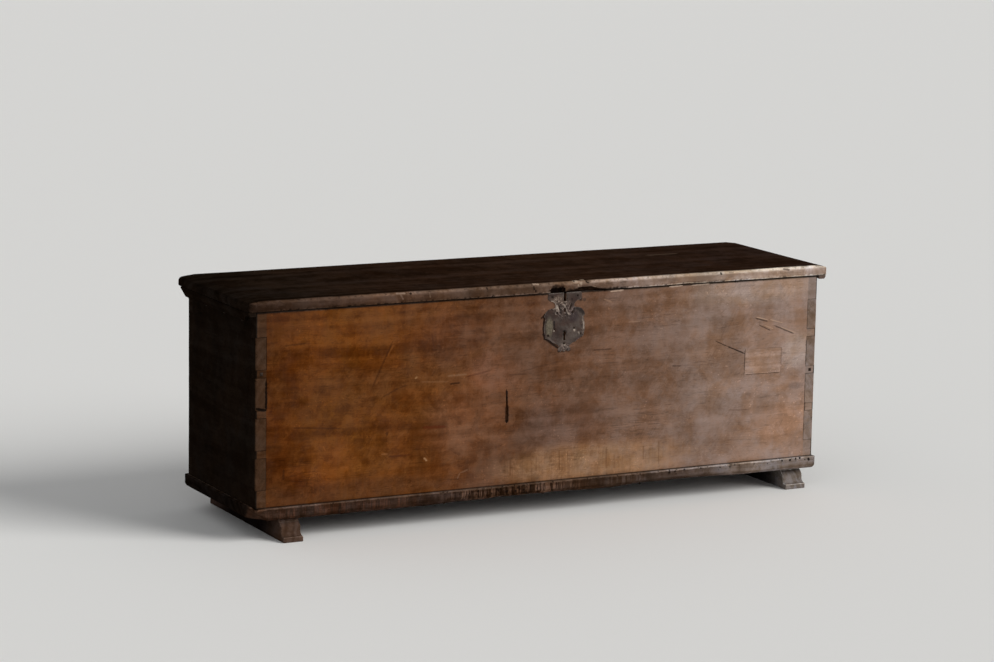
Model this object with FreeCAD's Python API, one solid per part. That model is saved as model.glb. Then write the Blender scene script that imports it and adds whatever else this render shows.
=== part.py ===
import FreeCAD
import Part
import math
import os

# Old walnut storage chest with a hinged plank lid.
# A box of four wide boards, dovetailed at the corners, stands on a base board with a rounded
# lower edge. The base board is nailed to two runners that lie front to back, with moulded toes.
# The lid is one thick plank with rounded edges and a moulded cleat under each end. It turns on
# two forged strap hinges at the back. A pierced iron plate on the front covers the keyhole and
# the open slot of a hasp, and the lock's works lie in a mortise behind it.
# X runs along the length, Y from front to back and Z up, all in millimetres. The origin is on
# the floor under the middle of the chest.

# Boards of the box
BODY_LENGTH = 1700.0
BODY_DEPTH = 460.0
BODY_HEIGHT = 514.0
FRONT_THICK = 30.0
END_THICK = 30.0

# Corner dovetails: tails on the end boards, pins on the front and back boards
TAIL_COUNT = 4
TOP_PIN = 66.0
BOTTOM_PIN = 47.0
PIN_WIDTH = 21.0
TAIL_FLARE = 4.0

# Base board
BASE_THICK = 36.0
BASE_OVERHANG = 8.0
BASE_ROUND = 14.0

# Runners, with toes moulded as a step, a cove, an ovolo and a fillet
LEFT_RUNNER_WIDTH = 56.0
RIGHT_RUNNER_WIDTH = 64.0
LEFT_RUNNER_INSET = 72.0
RIGHT_RUNNER_INSET = 17.0
TOE_REACH = 20.0
RIGHT_TOE_SETBACK = 22.0
TOE_HEIGHT = 15.0
COVE_DEPTH = 17.0
COVE_RISE = 10.0
OVOLO_DEPTH = 13.0
OVOLO_RISE = 24.0
FILLET_RISE = 8.0

# Lid plank
LID_THICK = 30.0
LID_GAP = 0.3
LID_END_OVERHANG = 26.0
LID_FRONT_OVERHANG = 10.0
LID_BACK_OVERHANG = 8.0
LID_FRONT_ROUND = 12.0
LID_UNDER_ROUND = 6.0
LID_BACK_ROUND = 4.0
LID_END_SLOPE = 45.0
LID_END_FALL = 6.0
LID_END_ROUND = 12.0
LID_END_UNDER_ROUND = 5.0
LID_LEFT_CORNER_ROUND = 26.0
LID_RIGHT_CORNER_ROUND = 10.0
LARGEST_ROUND_SHARE = 0.6

# Cleats under the lid's ends
CLEAT_HEIGHT = 30.0
CLEAT_SET_IN = 3.0
CLEAT_LIP = 4.0
CLEAT_FOOT = 7.0
CLEAT_GAP = 1.0
CLEAT_NOSE_LENGTH = 60.0
CLEAT_NOSE_HEIGHT = 11.0
CLEAT_FRONT_SET = 4.0
CLEAT_BACK_SET = 8.0

# Repairs and damage on the front
PATCH_WIDTH = 118.0
PATCH_HEIGHT = 70.0
PATCH_DEPTH = 8.0
PATCH_FROM_RIGHT = 171.0
PATCH_ABOVE_BASE = 283.0
PATCH_TILT = 0.8
GOUGE_FROM_LEFT = 728.0
GOUGE_ABOVE_BASE = 171.0
GOUGE_HEIGHT = 84.0
GOUGE_WIDTH = 9.0
GOUGE_DEPTH = 9.0
# Outline of the knife-shaped gouge from its foot, in shares of its width and height
GOUGE_SHARES = [(0.3, 0.0), (0.5, 0.12), (0.4, 0.45), (-0.3, 1.0), (-0.45, 0.55), (-0.5, 0.12)]

# Lock: its centre line lies to the right of the chest's middle
LOCK_OFFSET = 47.0
MORTISE_WIDTH = 112.0
MORTISE_HEIGHT = 150.0
MORTISE_DEPTH = 18.0
COVER_MARGIN = 14.0
COVER_THICK = 2.5
HASP_SLOT_WIDTH = 8.0
HASP_SLOT_DROP = 24.0
KEYHOLE_DROP = 111.0
KEYHOLE_RADIUS = 4.4
KEYHOLE_SLOT = 6.4
KEYHOLE_HEIGHT = 24.0
POST_RADIUS = 2.2
POST_REACH = 26.0

# Lock bolt: a bar that crosses the hasp slot, an arm, and a foot that the key drives
BOLT_THICK = 5.0
BAR_HEIGHT = 10.0
BAR_DROP = 8.0
BAR_LENGTH = 44.0
BAR_NOSE_CLEARANCE = 2.0
ARM_WIDTH = 12.0
FOOT_HEIGHT = 12.0
FOOT_LIFT = 9.0
FOOT_REACH = 8.0
TALON_WIDTH = 12.0
TALON_DEPTH = 6.0
BOLT_TRAVEL = 20.0
STUMP_RADIUS = 2.0
STUMP_CLEARANCE = 0.4
GUIDE_WIDTH = 5.0
GUIDE_WALL = 3.0
GUIDE_CLEARANCE = 0.3
GUIDE_FROM_SLOT = 2.5

# Leaf spring that rubs on the bolt's foot
SPRING_THICK = 1.2
SPRING_WIDTH = 6.0
SPRING_RISE = 13.0
SPRING_SAG = 7.5
SPRING_TIP = 2.0
SPRING_ANCHOR_REACH = 42.0
SPRING_ANCHOR_SIZE = 8.0
SPRING_CLEARANCE = 0.3

# Iron plate over the lock
PLATE_HALF_WIDTH = 62.5
PLATE_HEIGHT = 163.0
PLATE_THICK = 2.0
PLATE_TOP_GAP = 1.0
# Right half of its outline, from the top's middle down to the tip. Each step is the middle of
# an arc, or None for a straight line, and its end, in shares of the half width and the height.
PLATE_OUTLINE_SHARES = [
    (None, (0.70, 1.00)),
    ((0.80, 0.99), (0.82, 0.955)),
    ((0.80, 0.89), (0.66, 0.86)),
    ((0.50, 0.82), (0.47, 0.755)),
    (None, (0.66, 0.745)),
    ((0.86, 0.71), (1.00, 0.62)),
    ((0.97, 0.595), (0.92, 0.58)),
    ((1.00, 0.42), (0.93, 0.25)),
    ((0.73, 0.215), (0.55, 0.165)),
    ((0.40, 0.145), (0.24, 0.095)),
    ((0.31, 0.045), (0.17, 0.015)),
    ((0.08, 0.03), (0.00, 0.00)),
]
PLATE_NAIL_SHARES = [(0.48, 0.40), (0.79, 0.30), (0.38, 0.67), (0.62, 0.94)]
PLATE_LOW_NAIL_SHARE = 0.155
PIERCING_LENGTH = 20.0
PIERCING_WIDTH = 4.5
PIERCING_TILT = 16.0
PIERCING_OFFSET = 17.0
PIERCING_DROP = 40.0
DIAMOND_HEIGHT = 15.0
DIAMOND_WIDTH = 7.0

# Bed of the lost hasp in the lid's front edge, and the split beside it
HASP_BED_WIDTH = 44.0
HASP_BED_RISE = 13.0
HASP_BED_DEPTH = 15.0
HASP_BED_OFFSET = 4.0
SPLIT_LENGTH = 148.0
SPLIT_DEPTH = 13.0
SPLIT_RISE = 13.0
SPLIT_SHARES = [(0.0, 0.0), (0.0, 0.2), (0.2, 0.55), (0.34, 0.95), (0.52, 1.0), (0.68, 0.5), (1.0, 0.0)]

# Strap hinges
HINGE_SPREAD = 1080.0
STRAP_THICK = 3.0
STRAP_WIDTH = 38.0
STRAP_TIP_WIDTH = 22.0
LID_STRAP_LENGTH = 290.0
BACK_STRAP_LENGTH = 170.0
SPADE_RADIUS = 19.0
SPADE_POINT = 16.0
KNUCKLE_RADIUS = 6.5
KNUCKLE_LENGTH = 12.0
KNUCKLE_CLEARANCE = 0.4
PIN_RADIUS = 3.0
PIN_CLEARANCE = 0.08
PIN_HEAD_RADIUS = 5.0
PIN_HEAD_THICK = 2.5
STRAP_NAIL_COUNT = 4
STRAP_BED_CLEARANCE = 1.0

# Forged nails: square shank, faceted head
NAIL_HEAD = 9.0
NAIL_HEAD_RISE = 2.0
NAIL_CROWN = 3.0
NAIL_SHANK = 3.0
NAIL_GRIP = 18.0
SMALL_NAIL_HEAD = 6.0
SMALL_NAIL_HEAD_RISE = 1.6
SMALL_NAIL_CROWN = 2.0
SMALL_NAIL_SHANK = 2.0
SMALL_NAIL_GRIP = 8.0
BASE_NAIL_PITCH = 300.0
BASE_NAIL_COUNT = 5
BASE_NAIL_GRIP = 24.0
END_NAIL_SPREAD = 200.0
RUNNER_NAIL_SPREAD = 150.0
RUNNER_NAIL_COUNT = 3
RUNNER_NAIL_SINK = 10.0
RUNNER_NAIL_POCKET = 12.0
CLEAT_NAIL_COUNT = 4
CLEAT_NAIL_HEAD = 6.0
CLEAT_NAIL_INSET = 20.0
CORNER_NAIL_INSET = 16.0

# Cuts run past the faces that they open by this much
OVERRUN = 5.0

# Steps of an outline that are shorter than this are left out
TINY = 0.001

# A quarter turn in degrees
QUARTER_TURN = 90

# Places that follow from the sizes above
HALF_LENGTH = BODY_LENGTH / 2
HALF_DEPTH = BODY_DEPTH / 2
RUNNER_HEIGHT = TOE_HEIGHT + COVE_RISE + OVOLO_RISE + FILLET_RISE
BASE_BOTTOM = RUNNER_HEIGHT
BODY_BOTTOM = BASE_BOTTOM + BASE_THICK
BODY_TOP = BODY_BOTTOM + BODY_HEIGHT
LID_BOTTOM = BODY_TOP + LID_GAP
LID_TOP = LID_BOTTOM + LID_THICK
FRONT_INSIDE = -HALF_DEPTH + FRONT_THICK
BACK_INSIDE = HALF_DEPTH - FRONT_THICK
LID_FRONT = -HALF_DEPTH - LID_FRONT_OVERHANG
LID_BACK = HALF_DEPTH + LID_BACK_OVERHANG
LID_HALF_LENGTH = HALF_LENGTH + LID_END_OVERHANG
HINGE_Y = HALF_DEPTH + KNUCKLE_RADIUS + KNUCKLE_CLEARANCE
HINGE_Z = LID_BOTTOM - KNUCKLE_RADIUS - KNUCKLE_CLEARANCE
KEY_Z = BODY_TOP - KEYHOLE_DROP
MORTISE_FLOOR = FRONT_INSIDE - MORTISE_DEPTH
BOLT_MIDDLE = FRONT_INSIDE - MORTISE_DEPTH / 2
BOLT_FRONT = BOLT_MIDDLE - BOLT_THICK / 2
FOOT_BOTTOM = KEY_Z + FOOT_LIFT
FOOT_TOP = FOOT_BOTTOM + FOOT_HEIGHT
BAR_TOP = BODY_TOP - BAR_DROP
BAR_NOSE = LOCK_OFFSET - HASP_SLOT_WIDTH / 2 - BAR_NOSE_CLEARANCE
BOLT_TAIL = BAR_NOSE - BAR_LENGTH

UP = FreeCAD.Vector(0, 0, 1)
ALONG = FreeCAD.Vector(1, 0, 0)
BACKWARD = FreeCAD.Vector(0, 1, 0)


def vector(x, y, z):
    """A point or direction."""
    return FreeCAD.Vector(x, y, z)


def block(low, high):
    """A box between two corners."""
    size = [b - a for a, b in zip(low, high)]
    return Part.makeBox(size[0], size[1], size[2], vector(*low))


def drawn_flat(plane, u, v, at):
    """The point (u, v) of a drawing that lies in the named plane, a distance at from the origin."""
    if plane == "xy":
        return vector(u, v, at)
    if plane == "xz":
        return vector(u, at, v)
    return vector(at, u, v)


def prism(steps, start, plane, at, depth):
    """Extrudes the closed outline that starts at start. Each step is an arc's middle or None, and its end."""
    normal = {"xy": UP, "xz": BACKWARD, "yz": ALONG}[plane]
    here = drawn_flat(plane, start[0], start[1], at)
    edges = []
    for middle, end in list(steps) + [(None, start)]:
        there = drawn_flat(plane, end[0], end[1], at)
        if here.distanceToPoint(there) > TINY:
            if middle is None:
                edges.append(Part.LineSegment(here, there).toShape())
            else:
                through = drawn_flat(plane, middle[0], middle[1], at)
                edges.append(Part.Arc(here, through, there).toShape())
        here = there
    return Part.Face(Part.Wire(edges)).extrude(normal * depth)


def polygon(points, plane, at, depth):
    """Extrudes a closed outline of straight lines."""
    return prism([(None, p) for p in points[1:]], points[0], plane, at, depth)


def rounded_section(corners, plane, at, depth):
    """Extrudes an outline whose corners (u, v, radius) are rounded by their own radius."""
    steps = []
    for index, (u, v, radius) in enumerate(corners):
        corner = FreeCAD.Vector(u, v, 0)
        if not radius:
            steps.append((None, (u, v)))
            continue
        before = FreeCAD.Vector(*corners[index - 1][:2], 0) - corner
        after = FreeCAD.Vector(*corners[(index + 1) % len(corners)][:2], 0) - corner
        half_turn = before.getAngle(after) / 2
        tangent = radius / math.tan(half_turn)
        towards = (before.normalize() + after.normalize()).normalize()
        centre = corner + towards * (radius / math.sin(half_turn))
        enter = corner + before * tangent
        leave = corner + after * tangent
        middle = centre - towards * radius
        steps.append((None, (enter.x, enter.y)))
        steps.append(((middle.x, middle.y), (leave.x, leave.y)))
    return prism(steps[1:], steps[0][1], plane, at, depth)


def nail(point, direction, head, rise, crown, shank, grip):
    """A forged nail: a faceted head that stands off the surface at point, and a square shank into it.

    The direction points out of the wood, along one of the axes.
    """
    base, crown_half = head / 2, crown / 2
    top = Part.makeWedge(-base, 0, -base, -crown_half, -crown_half, base, rise, base, crown_half, crown_half)
    top.rotate(vector(0, 0, 0), ALONG, QUARTER_TURN)
    stem = block((-shank / 2, -shank / 2, -grip), (shank / 2, shank / 2, 0))
    whole = top.fuse(stem).removeSplitter()
    whole.Placement = FreeCAD.Placement(point, FreeCAD.Rotation(UP, direction))
    return whole


def large_nail(point, direction, grip=NAIL_GRIP, head=NAIL_HEAD):
    """A nail of the size that holds boards and straps."""
    return nail(point, direction, head, NAIL_HEAD_RISE, NAIL_CROWN, NAIL_SHANK, grip)


def small_nail(point, direction):
    """A nail of the size that holds the iron plate and the lock."""
    return nail(
        point,
        direction,
        SMALL_NAIL_HEAD,
        SMALL_NAIL_HEAD_RISE,
        SMALL_NAIL_CROWN,
        SMALL_NAIL_SHANK,
        SMALL_NAIL_GRIP,
    )


def tail_spans():
    """The lower and upper height of each tail at its wide tip."""
    pins = TOP_PIN + BOTTOM_PIN + PIN_WIDTH * (TAIL_COUNT - 1)
    height = (BODY_HEIGHT - pins) / TAIL_COUNT
    lows = [BODY_BOTTOM + BOTTOM_PIN + n * (height + PIN_WIDTH) for n in range(TAIL_COUNT)]
    return [(low, low + height) for low in lows]


def tails(side, face):
    """The tails of the end board on a side (-1 or 1) that run to the front (-1) or back (1) face."""
    tip = face * HALF_DEPTH
    root = face * (HALF_DEPTH - FRONT_THICK)
    inner = side * HALF_LENGTH - (END_THICK if side > 0 else 0)
    made = []
    for low, high in tail_spans():
        outline = [(tip, low), (tip, high), (root, high - TAIL_FLARE), (root, low + TAIL_FLARE)]
        made.append(polygon(outline, "yz", inner, END_THICK))
    return made


def end_board(side):
    """The end board on a side, with tails at both its ends."""
    inner = side * (HALF_LENGTH - END_THICK)
    outer = side * HALF_LENGTH
    low_x, high_x = min(inner, outer), max(inner, outer)
    board = block((low_x, FRONT_INSIDE, BODY_BOTTOM), (high_x, BACK_INSIDE, BODY_TOP))
    return board.multiFuse(tails(side, -1) + tails(side, 1)).removeSplitter()


def long_board(face):
    """The front (-1) or back (1) board, with sockets for the tails of both end boards."""
    inside = face * (HALF_DEPTH - FRONT_THICK)
    outside = face * HALF_DEPTH
    low = (-HALF_LENGTH, min(inside, outside), BODY_BOTTOM)
    high = (HALF_LENGTH, max(inside, outside), BODY_TOP)
    return block(low, high).cut(Part.makeCompound(tails(-1, face) + tails(1, face)))


def keyhole(y_low, y_high):
    """The keyhole as a solid: a round head with a slot hanging below it."""
    head = Part.makeCylinder(KEYHOLE_RADIUS, y_high - y_low, vector(LOCK_OFFSET, y_low, KEY_Z), BACKWARD)
    low = (LOCK_OFFSET - KEYHOLE_SLOT / 2, y_low, KEY_Z + KEYHOLE_RADIUS - KEYHOLE_HEIGHT)
    slot = block(low, (LOCK_OFFSET + KEYHOLE_SLOT / 2, y_high, KEY_Z))
    return head.fuse(slot)


def hasp_slot(y_low, y_high, side_clearance):
    """The slot for the hasp's staple as a solid, open at the board's top edge."""
    half = HASP_SLOT_WIDTH / 2 + side_clearance
    low = (LOCK_OFFSET - half, y_low, BODY_TOP - HASP_SLOT_DROP)
    return block(low, (LOCK_OFFSET + half, y_high, BODY_TOP + OVERRUN))


def patch():
    """The rectangular repair let into the front board, set slightly askew."""
    middle = vector(HALF_LENGTH - PATCH_FROM_RIGHT, -HALF_DEPTH, BODY_BOTTOM + PATCH_ABOVE_BASE)
    low = middle - vector(PATCH_WIDTH / 2, 0, PATCH_HEIGHT / 2)
    piece = Part.makeBox(PATCH_WIDTH, PATCH_DEPTH, PATCH_HEIGHT, low)
    piece.rotate(middle, BACKWARD, PATCH_TILT)
    return piece


def gouge():
    """The knife-shaped gouge in the middle of the front."""
    x = -HALF_LENGTH + GOUGE_FROM_LEFT
    z = BODY_BOTTOM + GOUGE_ABOVE_BASE
    outline = [(x + a * GOUGE_WIDTH, z + b * GOUGE_HEIGHT) for a, b in GOUGE_SHARES]
    return polygon(outline, "xz", -HALF_DEPTH - OVERRUN, GOUGE_DEPTH + OVERRUN)


def front_board(nails):
    """The front board: one wide plank with the lock's mortise and holes, and the patch's recess."""
    board = long_board(-1)
    half = MORTISE_WIDTH / 2
    mortise = block(
        (LOCK_OFFSET - half, MORTISE_FLOOR, BODY_TOP - MORTISE_HEIGHT),
        (LOCK_OFFSET + half, FRONT_INSIDE + OVERRUN, BODY_TOP + OVERRUN),
    )
    outside = -HALF_DEPTH - OVERRUN
    cuts = [
        mortise,
        keyhole(outside, MORTISE_FLOOR + OVERRUN),
        hasp_slot(outside, MORTISE_FLOOR + OVERRUN, 0),
        patch(),
        gouge(),
    ]
    return board.cut(Part.makeCompound(cuts)).cut(Part.makeCompound(nails))


def strap_places():
    """The middle of each strap hinge along the chest."""
    return {"left": -HINGE_SPREAD / 2, "right": HINGE_SPREAD / 2}


def back_board(nails):
    """The back board, with a shallow bed in its top edge for each lid strap."""
    board = long_board(1)
    half = STRAP_WIDTH / 2 + STRAP_BED_CLEARANCE
    bed_floor = LID_BOTTOM - STRAP_THICK - KNUCKLE_CLEARANCE
    beds = [
        block((x - half, BACK_INSIDE - OVERRUN, bed_floor), (x + half, HALF_DEPTH + OVERRUN, BODY_TOP + OVERRUN))
        for x in strap_places().values()
    ]
    return board.cut(Part.makeCompound(beds)).cut(Part.makeCompound(nails))


def base_board(nails):
    """The base board: wider than the box all round, its lower edge rounded."""
    half_length = HALF_LENGTH + BASE_OVERHANG
    half_depth = HALF_DEPTH + BASE_OVERHANG
    radius = min(BASE_ROUND, BASE_THICK)
    across = rounded_section(
        [
            (-half_depth, BODY_BOTTOM, 0),
            (-half_depth, BASE_BOTTOM, radius),
            (half_depth, BASE_BOTTOM, radius),
            (half_depth, BODY_BOTTOM, 0),
        ],
        "yz",
        -half_length,
        2 * half_length,
    )
    lengthwise = rounded_section(
        [
            (-half_length, BODY_BOTTOM, 0),
            (-half_length, BASE_BOTTOM, radius),
            (half_length, BASE_BOTTOM, radius),
            (half_length, BODY_BOTTOM, 0),
        ],
        "xz",
        -half_depth,
        2 * half_depth,
    )
    return across.common(lengthwise).cut(Part.makeCompound(nails))


def toe(reach, face):
    """One end of a runner's side outline, from the floor up: a toe, a cove and an ovolo."""
    tip = face * (HALF_DEPTH + reach)
    cove_end = tip - face * COVE_DEPTH
    top_end = cove_end - face * OVOLO_DEPTH
    cove_top = TOE_HEIGHT + COVE_RISE
    ovolo_top = cove_top + OVOLO_RISE
    bend = math.sin(math.radians(45))
    cove_middle = (tip - face * COVE_DEPTH * bend, TOE_HEIGHT + COVE_RISE * (1 - bend))
    ovolo_middle = (cove_end - face * OVOLO_DEPTH * (1 - bend), cove_top + OVOLO_RISE * bend)
    return [
        (None, (tip, TOE_HEIGHT)),
        (cove_middle, (cove_end, cove_top)),
        (ovolo_middle, (top_end, ovolo_top)),
        (None, (top_end, RUNNER_HEIGHT)),
    ], (tip, 0)


def runner(side, front_reach, nails):
    """The runner on a side of the base board, with moulded toes at the front and back."""
    low_x, width = runner_places()[side]
    front_steps, front_foot = toe(front_reach, -1)
    back_steps, back_foot = toe(TOE_REACH, 1)
    ends = [front_foot] + [end for _, end in front_steps]
    middles = [middle for middle, _ in front_steps]
    steps = list(back_steps)
    steps.append((None, ends[-1]))
    for index in range(len(front_steps) - 1, -1, -1):
        steps.append((middles[index], ends[index]))
    solid = prism(steps, back_foot, "yz", low_x, width)
    pockets = []
    half = RUNNER_NAIL_POCKET / 2
    for point in runner_nail_points(side):
        pockets.append(
            block((point.x - half, point.y - half, -OVERRUN), (point.x + half, point.y + half, RUNNER_NAIL_SINK))
        )
    return solid.cut(Part.makeCompound(pockets)).cut(Part.makeCompound(nails))


def runner_places():
    """The low X side of each runner, and its width."""
    left = -HALF_LENGTH + LEFT_RUNNER_INSET
    right = HALF_LENGTH - RIGHT_RUNNER_INSET - RIGHT_RUNNER_WIDTH
    return {"left": (left, LEFT_RUNNER_WIDTH), "right": (right, RIGHT_RUNNER_WIDTH)}


def runner_nail_points(side):
    """The seats of a runner's nails, sunk into its sole."""
    low_x, width = runner_places()[side]
    first = -RUNNER_NAIL_SPREAD * (RUNNER_NAIL_COUNT - 1) / 2
    return [
        vector(low_x + width / 2, first + n * RUNNER_NAIL_SPREAD, RUNNER_NAIL_SINK)
        for n in range(RUNNER_NAIL_COUNT)
    ]


def runner_nails():
    """The long nails that hold the runners to the base board, driven from the sole."""
    grip = BODY_BOTTOM - RUNNER_NAIL_SINK - BASE_THICK / 3
    return [large_nail(p, -UP, grip) for side in runner_places() for p in runner_nail_points(side)]


def base_nails():
    """The nails that hold the base board to the box, driven from below."""
    grip = BASE_THICK + BASE_NAIL_GRIP
    first = -BASE_NAIL_PITCH * (BASE_NAIL_COUNT - 1) / 2
    long_edge = HALF_DEPTH - FRONT_THICK / 2
    short_edge = HALF_LENGTH - END_THICK / 2
    points = [(first + n * BASE_NAIL_PITCH, y) for n in range(BASE_NAIL_COUNT) for y in (-long_edge, long_edge)]
    half_spread = END_NAIL_SPREAD / 2
    points += [(x, y) for x in (-short_edge, short_edge) for y in (-half_spread, half_spread)]
    return [large_nail(vector(x, y, BASE_BOTTOM), -UP, grip) for x, y in points]


def corner_nails():
    """The two nails through pins of the front board into the end boards."""
    spans = tail_spans()
    middle_pin = (spans[1][1] + spans[2][0]) / 2
    upper_pin = (spans[2][1] + spans[3][0]) / 2
    x = HALF_LENGTH - CORNER_NAIL_INSET
    grip = FRONT_THICK + NAIL_GRIP
    return [
        large_nail(vector(x, -HALF_DEPTH, middle_pin), -BACKWARD, grip),
        large_nail(vector(-x, -HALF_DEPTH, upper_pin), -BACKWARD, grip),
    ]


def lid_board(nails):
    """The lid: a thick plank with a rounded front, ends that slope down, and the lost hasp's bed."""
    largest = LID_THICK * LARGEST_ROUND_SHARE
    front_round = min(LID_FRONT_ROUND, largest)
    across = rounded_section(
        [
            (LID_FRONT, LID_BOTTOM, min(LID_UNDER_ROUND, LID_THICK - front_round)),
            (LID_BACK, LID_BOTTOM, 0),
            (LID_BACK, LID_TOP, min(LID_BACK_ROUND, largest)),
            (LID_FRONT, LID_TOP, front_round),
        ],
        "yz",
        -LID_HALF_LENGTH,
        2 * LID_HALF_LENGTH,
    )
    end_round = min(LID_END_ROUND, largest)
    slope_start = LID_HALF_LENGTH - LID_END_SLOPE
    slope_end = LID_TOP - min(LID_END_FALL, largest)
    lengthwise = rounded_section(
        [
            (-LID_HALF_LENGTH, LID_BOTTOM, LID_END_UNDER_ROUND),
            (LID_HALF_LENGTH, LID_BOTTOM, LID_END_UNDER_ROUND),
            (LID_HALF_LENGTH, slope_end, end_round),
            (slope_start, LID_TOP, 0),
            (-slope_start, LID_TOP, 0),
            (-LID_HALF_LENGTH, slope_end, end_round),
        ],
        "xz",
        LID_FRONT,
        LID_BACK - LID_FRONT,
    )
    plan = rounded_section(
        [
            (-LID_HALF_LENGTH, LID_FRONT, LID_LEFT_CORNER_ROUND),
            (LID_HALF_LENGTH, LID_FRONT, LID_RIGHT_CORNER_ROUND),
            (LID_HALF_LENGTH, LID_BACK, 0),
            (-LID_HALF_LENGTH, LID_BACK, 0),
        ],
        "xy",
        LID_BOTTOM,
        LID_THICK,
    )
    bed_right = LOCK_OFFSET - HASP_BED_OFFSET
    bed = block(
        (bed_right - HASP_BED_WIDTH, LID_FRONT - OVERRUN, LID_BOTTOM - OVERRUN),
        (bed_right, LID_FRONT + HASP_BED_DEPTH, LID_BOTTOM + HASP_BED_RISE),
    )
    split_points = [
        (bed_right + a * SPLIT_LENGTH, LID_BOTTOM + b * SPLIT_RISE) for a, b in SPLIT_SHARES
    ]
    split = polygon(split_points, "xz", LID_FRONT - OVERRUN, SPLIT_DEPTH + OVERRUN)
    board = across.common(lengthwise).common(plan).cut(Part.makeCompound([bed, split]))
    return board.cut(Part.makeCompound(nails))


def cleat(side, nails):
    """The moulded cleat under the lid's end, outside the box. Its front end is hollowed to a thin nose."""
    inner = side * (HALF_LENGTH + CLEAT_GAP)
    width = max(LID_END_OVERHANG - CLEAT_GAP - CLEAT_SET_IN, CLEAT_FOOT)
    outer = inner + side * width
    foot = inner + side * CLEAT_FOOT
    bottom = LID_BOTTOM - CLEAT_HEIGHT
    front = LID_FRONT + CLEAT_FRONT_SET
    back = LID_BACK - CLEAT_BACK_SET
    moulding = polygon(
        [(inner, LID_BOTTOM), (outer, LID_BOTTOM), (outer, LID_BOTTOM - CLEAT_LIP), (foot, bottom), (inner, bottom)],
        "xz",
        front,
        back - front,
    )
    rise = max(CLEAT_HEIGHT - CLEAT_NOSE_HEIGHT, 0)
    bend = math.sin(math.radians(45))
    nose_middle = (front + CLEAT_NOSE_LENGTH * bend, bottom + rise * bend)
    nose_steps = [
        (nose_middle, (front + CLEAT_NOSE_LENGTH, bottom)),
        (None, (back, bottom)),
        (None, (back, LID_BOTTOM)),
        (None, (front, LID_BOTTOM)),
    ]
    nosed = prism(nose_steps, (front, bottom + rise), "yz", min(inner, outer), abs(outer - inner))
    return moulding.common(nosed).cut(Part.makeCompound(nails))


def cleat_nails():
    """The nails that hold the cleats to the lid, driven up through them behind their noses."""
    first = LID_FRONT + CLEAT_FRONT_SET + CLEAT_NOSE_LENGTH + CLEAT_NAIL_INSET
    last = LID_BACK - CLEAT_BACK_SET - CLEAT_NAIL_INSET
    pitch = (last - first) / (CLEAT_NAIL_COUNT - 1)
    x = HALF_LENGTH + CLEAT_GAP + CLEAT_FOOT / 2
    z = LID_BOTTOM - CLEAT_HEIGHT
    grip = CLEAT_HEIGHT + LID_THICK / 2
    made = []
    for side in (-1, 1):
        for n in range(CLEAT_NAIL_COUNT):
            made.append(large_nail(vector(side * x, first + n * pitch, z), -UP, grip, CLEAT_NAIL_HEAD))
    return made


def plate_point(share_x, share_z):
    """A point of the iron plate's drawing, from its shares of the half width and the height."""
    bottom = BODY_TOP - PLATE_TOP_GAP - PLATE_HEIGHT
    return (LOCK_OFFSET + share_x * PLATE_HALF_WIDTH, bottom + share_z * PLATE_HEIGHT)


def plate_nails():
    """The small nails round the iron plate."""
    shares = [(side * a, b) for a, b in PLATE_NAIL_SHARES for side in (-1, 1)]
    points = [plate_point(a, b) for a, b in shares + [(0, PLATE_LOW_NAIL_SHARE)]]
    face = -HALF_DEPTH - PLATE_THICK
    return [small_nail(vector(x, face, z), -BACKWARD) for x, z in points]


def iron_plate(nails):
    """The pierced iron plate over the lock: one outline, mirrored about its middle."""
    right = PLATE_OUTLINE_SHARES
    ends = [(0, 1)] + [end for _, end in right]
    left = []
    for index in range(len(right) - 1, -1, -1):
        middle = right[index][0]
        mirrored = None if middle is None else (-middle[0], middle[1])
        left.append((mirrored, (-ends[index][0], ends[index][1])))
    steps = [
        (None if middle is None else plate_point(*middle), plate_point(*end)) for middle, end in right + left
    ]
    face = -HALF_DEPTH - PLATE_THICK
    sheet = prism(steps[:-1], plate_point(0, 1), "xz", face, PLATE_THICK)
    z = BODY_TOP - PLATE_TOP_GAP - PIERCING_DROP
    cuts = [
        keyhole(face - OVERRUN, -HALF_DEPTH + OVERRUN),
        hasp_slot(face - OVERRUN, -HALF_DEPTH + OVERRUN, 0),
    ]
    for side in (-1, 1):
        x = LOCK_OFFSET + side * PIERCING_OFFSET
        half = PIERCING_LENGTH / 2
        bulge = PIERCING_WIDTH / 2
        steps = [((x + bulge, z), (x, z + half)), ((x - bulge, z), (x, z - half))]
        slit = prism(steps, (x, z - half), "xz", face - OVERRUN, PLATE_THICK + OVERRUN * 2)
        slit.rotate(vector(x, face, z), BACKWARD, side * PIERCING_TILT)
        cuts.append(slit)
    low = z - DIAMOND_HEIGHT
    diamond = [
        (LOCK_OFFSET, low),
        (LOCK_OFFSET + DIAMOND_WIDTH / 2, low + DIAMOND_HEIGHT / 2),
        (LOCK_OFFSET, low + DIAMOND_HEIGHT),
        (LOCK_OFFSET - DIAMOND_WIDTH / 2, low + DIAMOND_HEIGHT / 2),
    ]
    cuts.append(polygon(diamond, "xz", face - OVERRUN, PLATE_THICK + OVERRUN * 2))
    return sheet.cut(Part.makeCompound(cuts)).cut(Part.makeCompound(nails))


def cover_nails():
    """The nails at the corners of the lock's cover, inside the chest."""
    x = MORTISE_WIDTH / 2 + COVER_MARGIN / 2
    high = BODY_TOP - COVER_MARGIN / 2
    low = BODY_TOP - MORTISE_HEIGHT - COVER_MARGIN / 2
    face = FRONT_INSIDE + COVER_THICK
    return [
        small_nail(vector(LOCK_OFFSET + side * x, face, z), BACKWARD) for side in (-1, 1) for z in (low, high)
    ]


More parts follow.
